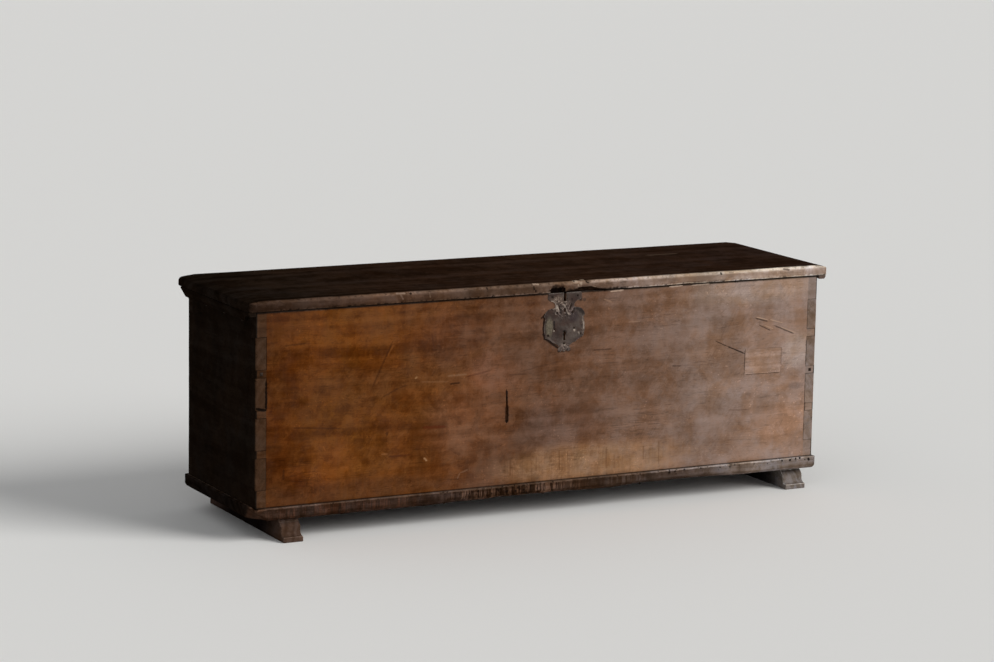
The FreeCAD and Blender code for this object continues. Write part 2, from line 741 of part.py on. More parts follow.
def lock_cover(nails):
    """The lock's cover inside the chest, with a flange that closes the mortise at the top."""
    half = MORTISE_WIDTH / 2 + COVER_MARGIN
    sheet = block(
        (LOCK_OFFSET - half, FRONT_INSIDE, BODY_TOP - MORTISE_HEIGHT - COVER_MARGIN),
        (LOCK_OFFSET + half, FRONT_INSIDE + COVER_THICK, BODY_TOP),
    )
    flange = block(
        (LOCK_OFFSET - MORTISE_WIDTH / 2, MORTISE_FLOOR, BODY_TOP - COVER_THICK),
        (LOCK_OFFSET + MORTISE_WIDTH / 2, FRONT_INSIDE, BODY_TOP),
    )
    slot = hasp_slot(MORTISE_FLOOR - OVERRUN, FRONT_INSIDE, 0)
    whole = sheet.fuse(flange.cut(slot)).removeSplitter()
    return whole.cut(Part.makeCompound(nails))


def lock_bolt():
    """The bolt, drawn back: bar, arm and foot in one, with the talon and the stump's slot."""
    front = BOLT_FRONT
    back = front + BOLT_THICK
    bar = block((BOLT_TAIL, front, BAR_TOP - BAR_HEIGHT), (BAR_NOSE, back, BAR_TOP))
    arm = block((BOLT_TAIL, front, FOOT_BOTTOM), (BOLT_TAIL + ARM_WIDTH, back, BAR_TOP))
    foot = block((BOLT_TAIL, front, FOOT_BOTTOM), (LOCK_OFFSET + FOOT_REACH, back, FOOT_TOP))
    talon = block(
        (LOCK_OFFSET - TALON_WIDTH / 2, front - OVERRUN, FOOT_BOTTOM - OVERRUN),
        (LOCK_OFFSET + TALON_WIDTH / 2, back + OVERRUN, FOOT_BOTTOM + TALON_DEPTH),
    )
    height = STUMP_RADIUS + STUMP_CLEARANCE
    x = stump_x()
    z = (FOOT_BOTTOM + FOOT_TOP) / 2
    left = x - BOLT_TRAVEL
    steps = [
        (None, (x, z - height)),
        ((x + height, z), (x, z + height)),
        (None, (left, z + height)),
        ((left - height, z), (left, z - height)),
    ]
    slot = prism(steps, (left, z - height), "xz", front - OVERRUN, BOLT_THICK + OVERRUN * 2)
    return bar.multiFuse([arm, foot]).removeSplitter().cut(talon).cut(slot)


def stump_x():
    """Where the fixed stump stands: at the right end of the slot while the bolt is drawn back."""
    return BOLT_TAIL + BOLT_TRAVEL + (STUMP_RADIUS + STUMP_CLEARANCE) * 2


def bolt_stump():
    """The fixed stump that the bolt's foot slides on."""
    z = (FOOT_BOTTOM + FOOT_TOP) / 2
    length = FRONT_INSIDE - BOLT_FRONT + STUMP_RADIUS
    return Part.makeCylinder(STUMP_RADIUS, length, vector(stump_x(), FRONT_INSIDE, z), -BACKWARD)


def bolt_guides():
    """The two staples that the bolt's bar slides through, one each side of the hasp slot."""
    made = []
    clearance = GUIDE_CLEARANCE
    window_front = BOLT_FRONT - clearance
    for side in (-1, 1):
        near = LOCK_OFFSET + side * (HASP_SLOT_WIDTH / 2 + GUIDE_FROM_SLOT)
        far = near + side * GUIDE_WIDTH
        low_x, high_x = min(near, far), max(near, far)
        low_z = BAR_TOP - BAR_HEIGHT - clearance
        high_z = BAR_TOP + clearance
        outer = block(
            (low_x, window_front - GUIDE_WALL, low_z - GUIDE_WALL), (high_x, FRONT_INSIDE, high_z + GUIDE_WALL)
        )
        window = block(
            (low_x - OVERRUN, window_front, low_z),
            (high_x + OVERRUN, window_front + BOLT_THICK + clearance * 2, high_z),
        )
        made.append(outer.cut(window))
    return made


def key_post():
    """The post that a piped key turns on, in line with the keyhole."""
    return Part.makeCylinder(POST_RADIUS, POST_REACH, vector(LOCK_OFFSET, FRONT_INSIDE, KEY_Z), -BACKWARD)


def lock_spring():
    """The leaf spring: a bowed strip from a block on the cover to the top of the bolt's foot."""
    front = BOLT_MIDDLE - SPRING_WIDTH / 2
    tip_x = LOCK_OFFSET + SPRING_TIP
    root_x = LOCK_OFFSET + SPRING_ANCHOR_REACH
    low = FOOT_TOP + SPRING_CLEARANCE
    high = low + SPRING_RISE
    middle = ((tip_x + root_x) / 2, (low + high) / 2 - SPRING_SAG / 2)
    thick = SPRING_THICK
    steps = [
        (middle, (root_x, high)),
        (None, (root_x, high + thick)),
        ((middle[0], middle[1] + thick), (tip_x, low + thick)),
    ]
    leaf = prism(steps, (tip_x, low), "xz", front, SPRING_WIDTH)
    half = SPRING_ANCHOR_SIZE / 2
    anchor = block(
        (root_x - thick, front, high - half), (root_x + SPRING_ANCHOR_SIZE, FRONT_INSIDE, high + half)
    )
    return leaf.fuse(anchor).removeSplitter()


def strap_outline(root, length, sign, along):
    """The outline of a strap: a long taper, a round spade and a point.

    The strap starts at root and runs by length in the direction of sign. Its middle is at along.
    """
    half, tip_half = STRAP_WIDTH / 2, STRAP_TIP_WIDTH / 2
    spade = root + sign * (length - SPADE_POINT - SPADE_RADIUS)
    shoulder = math.sqrt(max(SPADE_RADIUS**2 - tip_half**2, 0))
    tip = root + sign * length
    neck = spade - sign * shoulder
    point_half = SPADE_RADIUS / 2
    point_start = spade + sign * math.sqrt(SPADE_RADIUS**2 - point_half**2)
    return [
        (None, (along + half, root)),
        (None, (along + tip_half, neck)),
        ((along + SPADE_RADIUS, spade), (along + point_half, point_start)),
        (None, (along, tip)),
        (None, (along - point_half, point_start)),
        ((along - SPADE_RADIUS, spade), (along - tip_half, neck)),
        (None, (along - half, root)),
    ], (along - half, root)


def knuckle(low_x, length):
    """One eye of a hinge, bored for the pin."""
    at = vector(low_x, HINGE_Y, HINGE_Z)
    barrel = Part.makeCylinder(KNUCKLE_RADIUS, length, at, ALONG)
    return barrel.cut(pin_bore(low_x - OVERRUN, length + OVERRUN * 2))


def pin_bore(low_x, length):
    """The bore for a hinge pin as a solid."""
    return Part.makeCylinder(PIN_RADIUS + PIN_CLEARANCE, length, vector(low_x, HINGE_Y, HINGE_Z), ALONG)


def lid_strap(x, nails):
    """The strap under the lid, ending in the middle eye of the hinge."""
    root = HALF_DEPTH - KNUCKLE_CLEARANCE * 2
    steps, start = strap_outline(root, LID_STRAP_LENGTH, -1, x)
    bottom = LID_BOTTOM - STRAP_THICK
    strap = prism(steps[:-1], start, "xy", bottom, STRAP_THICK)
    half = KNUCKLE_LENGTH / 2
    tongue = block((x - half, root - OVERRUN, bottom), (x + half, HINGE_Y, LID_BOTTOM))
    solid = strap.fuse(tongue).cut(pin_bore(x - STRAP_WIDTH, STRAP_WIDTH * 2))
    solid = solid.fuse(knuckle(x - half, KNUCKLE_LENGTH)).removeSplitter()
    return solid.cut(Part.makeCompound(nails))


def back_strap(x, nails):
    """The strap down the back board, ending in the two outer eyes of the hinge."""
    root = HINGE_Z - KNUCKLE_RADIUS - KNUCKLE_CLEARANCE * 2
    steps, start = strap_outline(root, BACK_STRAP_LENGTH, -1, x)
    solid = prism(steps[:-1], start, "xz", HALF_DEPTH, STRAP_THICK)
    eyes = []
    for side in (-1, 1):
        near = x + side * (KNUCKLE_LENGTH / 2 + KNUCKLE_CLEARANCE)
        far = near + side * KNUCKLE_LENGTH
        low_x, high_x = min(near, far), max(near, far)
        tongue = block((low_x, HALF_DEPTH, root - OVERRUN), (high_x, HALF_DEPTH + STRAP_THICK, HINGE_Z))
        bore = pin_bore(low_x - OVERRUN, KNUCKLE_LENGTH + OVERRUN * 2)
        eyes.append(tongue.cut(bore).fuse(knuckle(low_x, KNUCKLE_LENGTH)))
    return solid.multiFuse(eyes).removeSplitter().cut(Part.makeCompound(nails))


def hinge_pin(x):
    """The hinge pin, with a head hammered over at both ends."""
    half = KNUCKLE_LENGTH * 3 / 2 + KNUCKLE_CLEARANCE * 2
    shank = Part.makeCylinder(PIN_RADIUS, half * 2, vector(x - half, HINGE_Y, HINGE_Z), ALONG)
    left = Part.makeCylinder(PIN_HEAD_RADIUS, PIN_HEAD_THICK, vector(x - half, HINGE_Y, HINGE_Z), -ALONG)
    right = Part.makeCylinder(PIN_HEAD_RADIUS, PIN_HEAD_THICK, vector(x + half, HINGE_Y, HINGE_Z), ALONG)
    return shank.multiFuse([left, right]).removeSplitter()


def strap_nail_steps(length, first):
    """How far along a strap each of its nails sits."""
    last = length - SPADE_POINT - SPADE_RADIUS
    return [first + (last - first) * n / (STRAP_NAIL_COUNT - 1) for n in range(STRAP_NAIL_COUNT)]


def lid_strap_nails():
    """The nails through the lid straps into the lid."""
    root = HALF_DEPTH - KNUCKLE_CLEARANCE * 2
    first = FRONT_THICK + NAIL_HEAD * 2
    z = LID_BOTTOM - STRAP_THICK
    return [
        large_nail(vector(x, root - step, z), -UP)
        for x in strap_places().values()
        for step in strap_nail_steps(LID_STRAP_LENGTH, first)
    ]


def back_strap_nails():
    """The nails through the back straps into the back board."""
    root = HINGE_Z - KNUCKLE_RADIUS - KNUCKLE_CLEARANCE * 2
    y = HALF_DEPTH + STRAP_THICK
    return [
        large_nail(vector(x, y, root - step), BACKWARD)
        for x in strap_places().values()
        for step in strap_nail_steps(BACK_STRAP_LENGTH, NAIL_HEAD * 2)
    ]


def build():
    """All the pieces, by the name of their node."""
    plate_set, cover_set, corner_set = plate_nails(), cover_nails(), corner_nails()
    base_set, runner_set, cleat_set = base_nails(), runner_nails(), cleat_nails()
    lid_strap_set, back_strap_set = lid_strap_nails(), back_strap_nails()
    straps = strap_places()
    box_nails = base_set + corner_set
    return {
        "front_board": front_board(box_nails + plate_set + cover_set),
        "back_board": back_board(box_nails + back_strap_set),
        "left_end_board": end_board(-1).cut(Part.makeCompound(box_nails)),
        "right_end_board": end_board(1).cut(Part.makeCompound(box_nails)),
        "front_patch": patch(),
        "base_board": base_board(base_set + runner_set),
        "left_runner": runner("left", TOE_REACH, runner_set + base_set),
        "right_runner": runner("right", TOE_REACH - RIGHT_TOE_SETBACK, runner_set + base_set),
        "base_nails": Part.makeCompound(base_set),
        "runner_nails": Part.makeCompound(runner_set),
        "corner_nails": Part.makeCompound(corner_set),
        "lock_plate": iron_plate(plate_set),
        "lock_plate_nails": Part.makeCompound(plate_set),
        "lock_cover": lock_cover(cover_set),
        "lock_cover_nails": Part.makeCompound(cover_set),
        "lock_bolt": lock_bolt(),
        "lock_bolt_guides": Part.makeCompound(bolt_guides()),
        "lock_bolt_stump": bolt_stump(),
        "lock_key_post": key_post(),
        "lock_spring": lock_spring(),
        "lid_board": lid_board(lid_strap_set + cleat_set),
        "left_cleat": cleat(-1, cleat_set),
        "right_cleat": cleat(1, cleat_set),
        "cleat_nails": Part.makeCompound(cleat_set),
        "left_lid_strap": lid_strap(straps["left"], lid_strap_set),
        "right_lid_strap": lid_strap(straps["right"], lid_strap_set),
        "lid_strap_nails": Part.makeCompound(lid_strap_set),
        "left_back_strap": back_strap(straps["left"], back_strap_set),
        "right_back_strap": back_strap(straps["right"], back_strap_set),
        "back_strap_nails": Part.makeCompound(back_strap_set),
        "left_hinge_pin": hinge_pin(straps["left"]),
        "right_hinge_pin": hinge_pin(straps["right"]),
    }


def main():
    """Writes one STEP file for each node."""
    os.makedirs("parts", exist_ok=True)
    for name, shape in build().items():
        shape.exportStep(os.path.join("parts", name + ".step"))


main()
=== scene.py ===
"""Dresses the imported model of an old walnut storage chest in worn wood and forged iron.

Each wooden piece is a worn copy of its node: the node's own mesh is cut into a fine grid, its
arrises are rounded and chipped, and its faces get the slight waves of hand planing. The iron
pieces keep their nodes, apart from the lock plate, which is hammered and pitted. All lengths are
in metres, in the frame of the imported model.
"""

from __future__ import annotations

import logging
import math
from collections.abc import Callable, Iterable, Sequence
from dataclasses import dataclass, field
from enum import Enum

import bmesh  # noqa: E402
import bpy  # noqa: E402
from mathutils import Matrix, Vector, noise  # noqa: E402


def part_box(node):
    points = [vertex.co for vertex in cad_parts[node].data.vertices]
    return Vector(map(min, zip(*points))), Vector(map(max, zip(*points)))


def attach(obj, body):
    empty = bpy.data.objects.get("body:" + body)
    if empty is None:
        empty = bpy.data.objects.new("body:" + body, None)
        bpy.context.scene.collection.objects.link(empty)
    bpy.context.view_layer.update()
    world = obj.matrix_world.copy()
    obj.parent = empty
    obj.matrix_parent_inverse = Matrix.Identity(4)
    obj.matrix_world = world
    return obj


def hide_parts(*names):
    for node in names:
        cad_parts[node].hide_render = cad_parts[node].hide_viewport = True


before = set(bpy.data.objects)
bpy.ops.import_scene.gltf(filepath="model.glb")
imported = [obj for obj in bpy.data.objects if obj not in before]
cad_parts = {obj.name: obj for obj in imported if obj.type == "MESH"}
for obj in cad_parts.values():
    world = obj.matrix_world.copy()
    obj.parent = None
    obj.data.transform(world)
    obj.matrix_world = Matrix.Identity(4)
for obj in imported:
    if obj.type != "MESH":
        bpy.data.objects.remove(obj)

LOG = logging.getLogger("storage_chest")
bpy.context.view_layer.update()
MM = 0.001

Point = tuple[float, float, float]
Colour = tuple[float, float, float]
Socket = bpy.types.NodeSocket
Value = Socket | float | int | Sequence[float]


def node_box(node: str) -> tuple[Point, Point]:
    """Reads the box of a CAD node from the frame, to a hundredth of a millimetre.

    Args:
        node: The node's name.

    Returns:
        The box's low and high corners.
    """
    low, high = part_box(node)
    return tuple(round(value, 5) for value in low), tuple(round(value, 5) for value in high)


(_, BOX_FRONT, BOX_BOTTOM), (HALF_LENGTH, FRONT_INSIDE, BOX_TOP) = node_box("front_board")
_, (BASE_HALF_LENGTH, BASE_HALF_DEPTH, BASE_TOP) = node_box("base_board")
(_, LID_FRONT, LID_BOTTOM), (_, _, LID_TOP) = node_box("lid_board")
(PLATE_LEFT, PLATE_FACE, _), (PLATE_RIGHT, _, _) = node_box("lock_plate")
HALF_DEPTH = -BOX_FRONT
THICK = FRONT_INSIDE - BOX_FRONT


class Axis(Enum):
    """One axis of the frame, and its place in a vector."""

    X = 0
    Y = 1
    Z = 2


class Body(Enum):
    """The bodies that worn pieces ride on."""

    BOX = "chest_box"
    LID = "lid"


def tone(red: int, green: int, blue: int) -> Colour:
    """Turns a colour as a screen shows it into the linear colour that a shader takes.

    Args:
        red: Red, from 0 to 255.
        green: Green, from 0 to 255.
        blue: Blue, from 0 to 255.

    Returns:
        The linear colour.
    """
    shares = (red / 255, green / 255, blue / 255)
    return tuple(s / 12.92 if s <= 0.04045 else ((s + 0.055) / 1.055) ** 2.4 for s in shares)


def smooth(low: float, high: float, value: float) -> float:
    """Rises smoothly from 0 at low to 1 at high.

    Args:
        low: Where the rise starts.
        high: Where it ends.
        value: The place that is asked for.

    Returns:
        A share from 0 to 1.
    """
    share = min(max((value - low) / (high - low), 0.0), 1.0)
    return share * share * (3 - 2 * share)


def swell(stops: tuple[float, float, float, float], value: float) -> float:
    """Rises from 0 to 1 between the first two stops and falls back between the last two."""
    return smooth(stops[0], stops[1], value) * smooth(stops[3], stops[2], value)


def waves(point: Vector, size: float, seed: float = 0.0) -> float:
    """Smooth noise from about -1 to 1, whose lumps are about size across.

    Args:
        point: Where the noise is read.
        size: The lumps' size in metres.
        seed: Shifts the noise, so that two uses of it differ.

    Returns:
        The noise.
    """
    return noise.noise(point / size + Vector((seed, seed * 1.7, seed * 2.3)))


# Shader graphs


@dataclass(frozen=True)
class Texture:
    """One noise texture. Where it has a stretch, its coordinates are multiplied by that first."""

    scale: Value = 1.0
    detail: float = 2.0
    roughness: float = 0.5
    distortion: float = 0.0
    stretch: Point | None = None


class Graph:
    """Adds nodes to one tree, from left to right."""

    SPACING = 190.0

    def __init__(self, tree: bpy.types.NodeTree) -> None:
        """Keeps the tree that the nodes go into."""
        self.tree = tree

    def put(self, socket: Socket, value: Value) -> None:
        """Links a socket to another, or sets its value.

        Args:
            socket: The input that takes the value.
            value: Another node's output, or a number or several.
        """
        if isinstance(value, bpy.types.NodeSocket):
            self.tree.links.new(value, socket)
        elif isinstance(value, (float, int)):
            socket.default_value = value
        else:
            wanted = len(socket.default_value)
            socket.default_value = (*value, 1.0)[:wanted]

    def add(
        self, kind: str, inputs: dict[str | int, Value] | None = None, **settings: object
    ) -> bpy.types.Node:
        """Adds a node.

        Args:
            kind: The node's type, without its ShaderNode prefix.
            inputs: What goes into its inputs, by their name or number.
            **settings: The node's own settings.

        Returns:
            The node.
        """
        node = self.tree.nodes.new("ShaderNode" + kind)
        node.location.x = len(self.tree.nodes) * self.SPACING
        for name, setting in settings.items():
            setattr(node, name, setting)
        for key, value in (inputs or {}).items():
            self.put(node.inputs[key], value)
        return node

    def math(self, operation: str, first: Value, second: Value = 0.0, clamp: bool = False) -> Socket:
        """Adds a Math node and returns its result."""
        return self.add("Math", {0: first, 1: second}, operation=operation, use_clamp=clamp).outputs[0]

    def vector(self, operation: str, first: Value, second: Value = (0.0, 0.0, 0.0)) -> Socket:
        """Adds a Vector Math node and returns its vector."""
        return self.add("VectorMath", {0: first, 1: second}, operation=operation).outputs["Vector"]

    def length(self, vector: Value) -> Socket:
        """Returns the length of a vector."""
        return self.add("VectorMath", {0: vector}, operation="LENGTH").outputs["Value"]

    def scaled(self, vector: Value, scale: Value) -> Socket:
        """Returns a vector times a number."""
        return self.add("VectorMath", {0: vector, "Scale": scale}, operation="SCALE").outputs["Vector"]

    def dot(self, first: Value, second: Value) -> Socket:
        """Returns the dot product of two vectors."""
        return self.add("VectorMath", {0: first, 1: second}, operation="DOT_PRODUCT").outputs["Value"]

    def centred(self, value: Value) -> Socket:
        """Takes one half from a noise, so that it swings about zero."""
        return self.math("SUBTRACT", value, 0.5)

    def mask(self, name: str) -> Socket:
        """Returns what the worn mesh says of each point under a name."""
        return self.add("Attribute", attribute_name=name).outputs["Fac"]

    def noise(self, vector: Value, texture: Texture) -> Socket:
        """Adds a noise texture.

        Args:
            vector: The coordinates that it is read at.
            texture: Its settings.

        Returns:
            The noise, from 0 to 1.
        """
        if texture.stretch is not None:
            vector = self.vector("MULTIPLY", vector, texture.stretch)
        inputs = {"Vector": vector, "Scale": texture.scale, "Detail": texture.detail}
        inputs |= {"Roughness": texture.roughness, "Distortion": texture.distortion}
        return self.add("TexNoise", inputs).outputs["Fac"]

    def drift(self, vector: Value, scale: float, detail: float) -> Socket:
        """Adds a noise of vectors about zero, which bends the coordinates of other textures.

        Args:
            vector: The coordinates that it is read at.
            scale: The noise's scale.
            detail: The noise's detail.

        Returns:
            The noise's vectors.
        """
        inputs = {"Vector": vector, "Scale": scale, "Detail": detail}
        return self.vector("SUBTRACT", self.add("TexNoise", inputs).outputs["Color"], (0.5, 0.5, 0.5))

    def ramp(self, value: Value, low: float, high: float, start: float = 0.0, end: float = 1.0) -> Socket:
        """Maps low to high on to start to end, smoothly, and clamps the result."""
        inputs = {"Value": value, "From Min": low, "From Max": high, "To Min": start, "To Max": end}
        return self.add("MapRange", inputs, interpolation_type="SMOOTHSTEP").outputs["Result"]

    def mix(self, share: Value, first: Value, second: Value) -> Socket:
        """Mixes two colours.

        Args:
            share: How much of the second colour shows, from 0 to 1.
            first: The first colour.
            second: The second colour.

        Returns:
            The mixed colour.
        """
        node = self.add("Mix", data_type="RGBA")
        for index, value in ((0, share), (6, first), (7, second)):
            self.put(node.inputs[index], value)
        return node.outputs[2]

    def group(self, tree: bpy.types.NodeTree, **inputs: Value) -> bpy.types.Node:
        """Places a node group.

        Args:
            tree: The group.
            **inputs: What goes into its inputs. A name has underscores for the input's spaces.

        Returns:
            The group's node.
        """
        node = self.add("Group", node_tree=tree)
        for name, value in inputs.items():
            self.put(node.inputs[name.replace("_", " ").title()], value)
        return node


class SocketKind(Enum):
    """The kinds of socket that the groups have."""

    VALUE = "NodeSocketFloat"
    VECTOR = "NodeSocketVector"


class Effect:
    """A shader node group that several materials share."""

    name = "effect"
    inputs: dict[str, tuple[SocketKind, float]] = {}
    outputs: tuple[str, ...] = ()
    made: dict[str, bpy.types.NodeTree] = {}

    @classmethod
    def tree(cls) -> bpy.types.NodeTree:
        """Looks the group up, and builds it the first time.

        Returns:
            The group's tree.
        """
        if cls.name not in Effect.made:
            tree = bpy.data.node_groups.new(cls.name, "ShaderNodeTree")
            for label, (kind, default) in cls.inputs.items():
                socket = tree.interface.new_socket(label, in_out="INPUT", socket_type=kind.value)
                if kind is SocketKind.VALUE:
                    socket.default_value = default
            for label in cls.outputs:
                tree.interface.new_socket(label, in_out="OUTPUT", socket_type=SocketKind.VALUE.value)
            entry = tree.nodes.new("NodeGroupInput")
            leave = tree.nodes.new("NodeGroupOutput")
            graph = Graph(tree)
            for label, socket in cls.build(graph, entry.outputs).items():
                tree.links.new(socket, leave.inputs[label])
            Effect.made[cls.name] = tree
        return Effect.made[cls.name]

    @classmethod
    def build(cls, graph: Graph, given: bpy.types.NodeOutputs) -> dict[str, Socket]:
        """Builds the group's nodes and returns what it puts out."""
        raise NotImplementedError


class WoodFigure(Effect):
    """Growth rings, bands, blotches, fibres and pores of a board whose grain runs along X."""

    name = "wood_figure"
    inputs = {
        "Vector": (SocketKind.VECTOR, 0.0),
        "Pith": (SocketKind.VECTOR, 0.0),
        "Rings": (SocketKind.VALUE, 60.0),
        "Warp": (SocketKind.VALUE, 0.03),
        "Banding": (SocketKind.VALUE, 0.3),
    }
    outputs = ("Tone", "Fibre", "Pores", "Lines")

    BANDS = Texture(1.0, 4.0, 0.65, stretch=(2.6, 60.0, 60.0))
    STREAKS = Texture(1.0, 3.0, 0.7, stretch=(26.0, 190.0, 190.0))
    SCRAPES = Texture(1.0, 2.0, 0.6, stretch=(150.0, 18.0, 18.0))
    BLOTCHES = Texture(1.0, 4.0, 0.62, 0.7, stretch=(9.0, 12.0, 12.0))
    CLOUDS = Texture(1.0, 2.0, 0.5, stretch=(2.6, 4.6, 4.6))
    MOTTLE = Texture(34.0, 3.0, 0.6)
    WORN = Texture(15.0, 5.0, 0.72, 0.5)
    FIBRE = Texture(1.0, 3.0, 0.7, stretch=(14.0, 420.0, 420.0))
    DASHES = Texture(1.0, 1.0, stretch=(60.0, 900.0, 900.0))
    COURSE = Texture(1.0, 3.0, 0.6, stretch=(3.0, 75.0, 75.0))
    BROKEN = Texture(11.0, 4.0, 0.7)
    SHARES = ((BANDS, 0.2), (STREAKS, 0.2), (SCRAPES, 0.14), (BLOTCHES, 0.44), (CLOUDS, 0.34))
    SLOW = (1.1, 3.2, 3.2)
    ACROSS = (0.0, 1.0, 1.0)

    @classmethod
    def build(cls, graph: Graph, given: bpy.types.NodeOutputs) -> dict[str, Socket]:
        """Builds the figure from noise that is drawn out along the grain.

        Args:
            graph: The group's graph.
            given: What comes into the group.

        Returns:
            What the group puts out, by name.
        """
        place = given["Vector"]
        bend = graph.scaled(graph.drift(graph.vector("MULTIPLY", place, cls.SLOW), 1.0, 3.0), given["Warp"])
        warped = graph.vector("ADD", place, graph.vector("MULTIPLY", bend, cls.ACROSS))
        across = graph.vector("MULTIPLY", graph.vector("SUBTRACT", warped, given["Pith"]), cls.ACROSS)
        radius = graph.math("MULTIPLY", graph.length(across), given["Rings"])
        rings = graph.add("TexNoise", {"W": radius, "Scale": 1.0, "Detail": 3.0}, noise_dimensions="1D")
        parts = [(rings.outputs["Fac"], given["Banding"])]
        parts += [(graph.noise(warped, texture), share) for texture, share in cls.SHARES]
        parts.append((graph.noise(place, cls.MOTTLE), 0.34))
        parts.append((graph.ramp(graph.noise(place, cls.WORN), 0.47, 0.54), 0.1))
        total: Value = 0.5
        for part, share in parts:
            total = graph.math("ADD", total, graph.math("MULTIPLY", graph.centred(part), share))
        course = graph.math("ABSOLUTE", graph.centred(graph.noise(warped, cls.COURSE)))
        kept = graph.ramp(graph.noise(place, cls.BROKEN), 0.48, 0.58)
        return {
            "Tone": total,
            "Fibre": graph.noise(warped, cls.FIBRE),
            "Pores": graph.ramp(graph.noise(warped, cls.DASHES), 0.6, 0.72),
            "Lines": graph.math("MULTIPLY", graph.ramp(course, 0.004, 0.02, 1.0, 0.0), kept),
        }


class Craze(Effect):
    """The net of fine cracks in old varnish, in patches."""

    name = "craze"
    inputs = {"Vector": (SocketKind.VECTOR, 0.0), "Cells": (SocketKind.VALUE, 90.0)}
    outputs = ("Mask",)

    BEND = 0.012
    PATCHES = Texture(13.0, 3.0, 0.6)

    @classmethod
    def build(cls, graph: Graph, given: bpy.types.NodeOutputs) -> dict[str, Socket]:
        """Builds the net from the borders of warped cells.

        Args:
            graph: The group's graph.
            given: What comes into the group.

        Returns:
            What the group puts out, by name.
        """
        drift = graph.scaled(graph.drift(given["Vector"], 60.0, 2.0), cls.BEND)
        net = {"Vector": graph.vector("ADD", given["Vector"], drift), "Scale": given["Cells"]}
        border = graph.add("TexVoronoi", net, feature="DISTANCE_TO_EDGE").outputs["Distance"]
        line = graph.ramp(border, 0.0, 0.09, 1.0, 0.0)
        patch = graph.ramp(graph.noise(given["Vector"], cls.PATCHES), 0.47, 0.6)
        return {"Mask": graph.math("MULTIPLY", line, patch)}


class Scuffs(Effect):
    """Fine crooked scratches, most of them along one slanting direction of the XZ plane."""

    name = "scuffs"
    inputs = {
        "Vector": (SocketKind.VECTOR, 0.0),
        "Slant": (SocketKind.VALUE, 1.0),
        "Cover": (SocketKind.VALUE, 0.5),
    }
    outputs = ("Mask",)

    LEVELS = Texture(1.0, 2.0, 0.7, stretch=(4.0, 60.0, 60.0))
    BREAKS = Texture(16.0, 3.0, 0.7)
    FIELDS = Texture(7.0, 1.0)

    @classmethod
    def build(cls, graph: Graph, given: bpy.types.NodeOutputs) -> dict[str, Socket]:
        """Builds the scratches as contour lines of noise that is drawn out along the slant.

        Args:
            graph: The group's graph.
            given: What comes into the group.

        Returns:
            What the group puts out, by name.
        """
        place = given["Vector"]
        inputs = {"Vector": place, "Angle": given["Slant"]}
        turned = graph.add("VectorRotate", inputs, rotation_type="Y_AXIS")
        level = graph.centred(graph.noise(turned.outputs[0], cls.LEVELS))
        line = graph.ramp(graph.math("ABSOLUTE", level), 0.0, 0.022, 1.0, 0.0)
        broken = graph.ramp(graph.noise(place, cls.BREAKS), 0.62, 0.5)
        kept = graph.math("LESS_THAN", graph.noise(place, cls.FIELDS), given["Cover"])
        return {"Mask": graph.math("MULTIPLY", graph.math("MULTIPLY", line, broken), kept)}


class SoftSpot(Effect):
    """An oval patch with a ragged, soft edge."""

    name = "soft_spot"
    inputs = {
        "Vector": (SocketKind.VECTOR, 0.0),
        "Centre": (SocketKind.VECTOR, 0.0),
        "Size": (SocketKind.VECTOR, 0.0),
        "Ragged": (SocketKind.VALUE, 0.8),
    }
    outputs = ("Mask",)

    EDGE = Texture(1.0, 4.0, 0.65, stretch=(7.0, 20.0, 20.0))

    @classmethod
    def build(cls, graph: Graph, given: bpy.types.NodeOutputs) -> dict[str, Socket]:
        """Builds the mask from the distance to the centre, measured in the spot's own size.

        Args:
            graph: The group's graph.
            given: What comes into the group.

        Returns:
            What the group puts out, by name.
        """
        offset = graph.vector("SUBTRACT", given["Vector"], given["Centre"])
        offset = graph.vector("DIVIDE", offset, given["Size"])
        rough = graph.centred(graph.noise(given["Vector"], cls.EDGE))
        distance = graph.math("ADD", graph.length(offset), graph.math("MULTIPLY", rough, given["Ragged"]))
        return {"Mask": graph.ramp(distance, 0.45, 1.15, 1.0, 0.0)}


class LineMark(Effect):
    """A scratch, crack or seam from one point to another."""

    name = "line_mark"
    inputs = {
        "Vector": (SocketKind.VECTOR, 0.0),
        "Start": (SocketKind.VECTOR, 0.0),
        "Run": (SocketKind.VECTOR, 0.0),
        "Width": (SocketKind.VALUE, 0.002),
    }
    outputs = ("Mask",)

    WAVER = Texture(140.0)

    @classmethod
    def build(cls, graph: Graph, given: bpy.types.NodeOutputs) -> dict[str, Socket]:
        """Builds the mask from the distance to the line, which thins towards both its ends.

        The share is held from 0 to 1 by two plain nodes. A node's own clamp would keep every mark's
        values alive up to the end of the material, and a material with many marks then turns black.

        Args:
            graph: The group's graph.
            given: What comes into the group.

        Returns:
            What the group puts out, by name.
        """
        offset = graph.vector("SUBTRACT", given["Vector"], given["Start"])
        share = graph.math("DIVIDE", graph.dot(offset, given["Run"]), graph.dot(given["Run"], given["Run"]))
        share = graph.math("MINIMUM", graph.math("MAXIMUM", share, 0.0), 1.0)
        distance = graph.length(graph.vector("SUBTRACT", offset, graph.scaled(given["Run"], share)))
        waver = graph.centred(graph.noise(given["Vector"], cls.WAVER))
        distance = graph.math("ADD", distance, graph.math("MULTIPLY", waver, given["Width"]))
        ends = graph.math("MULTIPLY", share, graph.math("SUBTRACT", 1.0, share))
        thin = graph.math("MULTIPLY", given["Width"], graph.ramp(ends, 0.0, 0.12, 0.25, 1.0))
        return {"Mask": graph.ramp(graph.math("DIVIDE", distance, thin), 0.25, 1.0, 1.0, 0.0)}


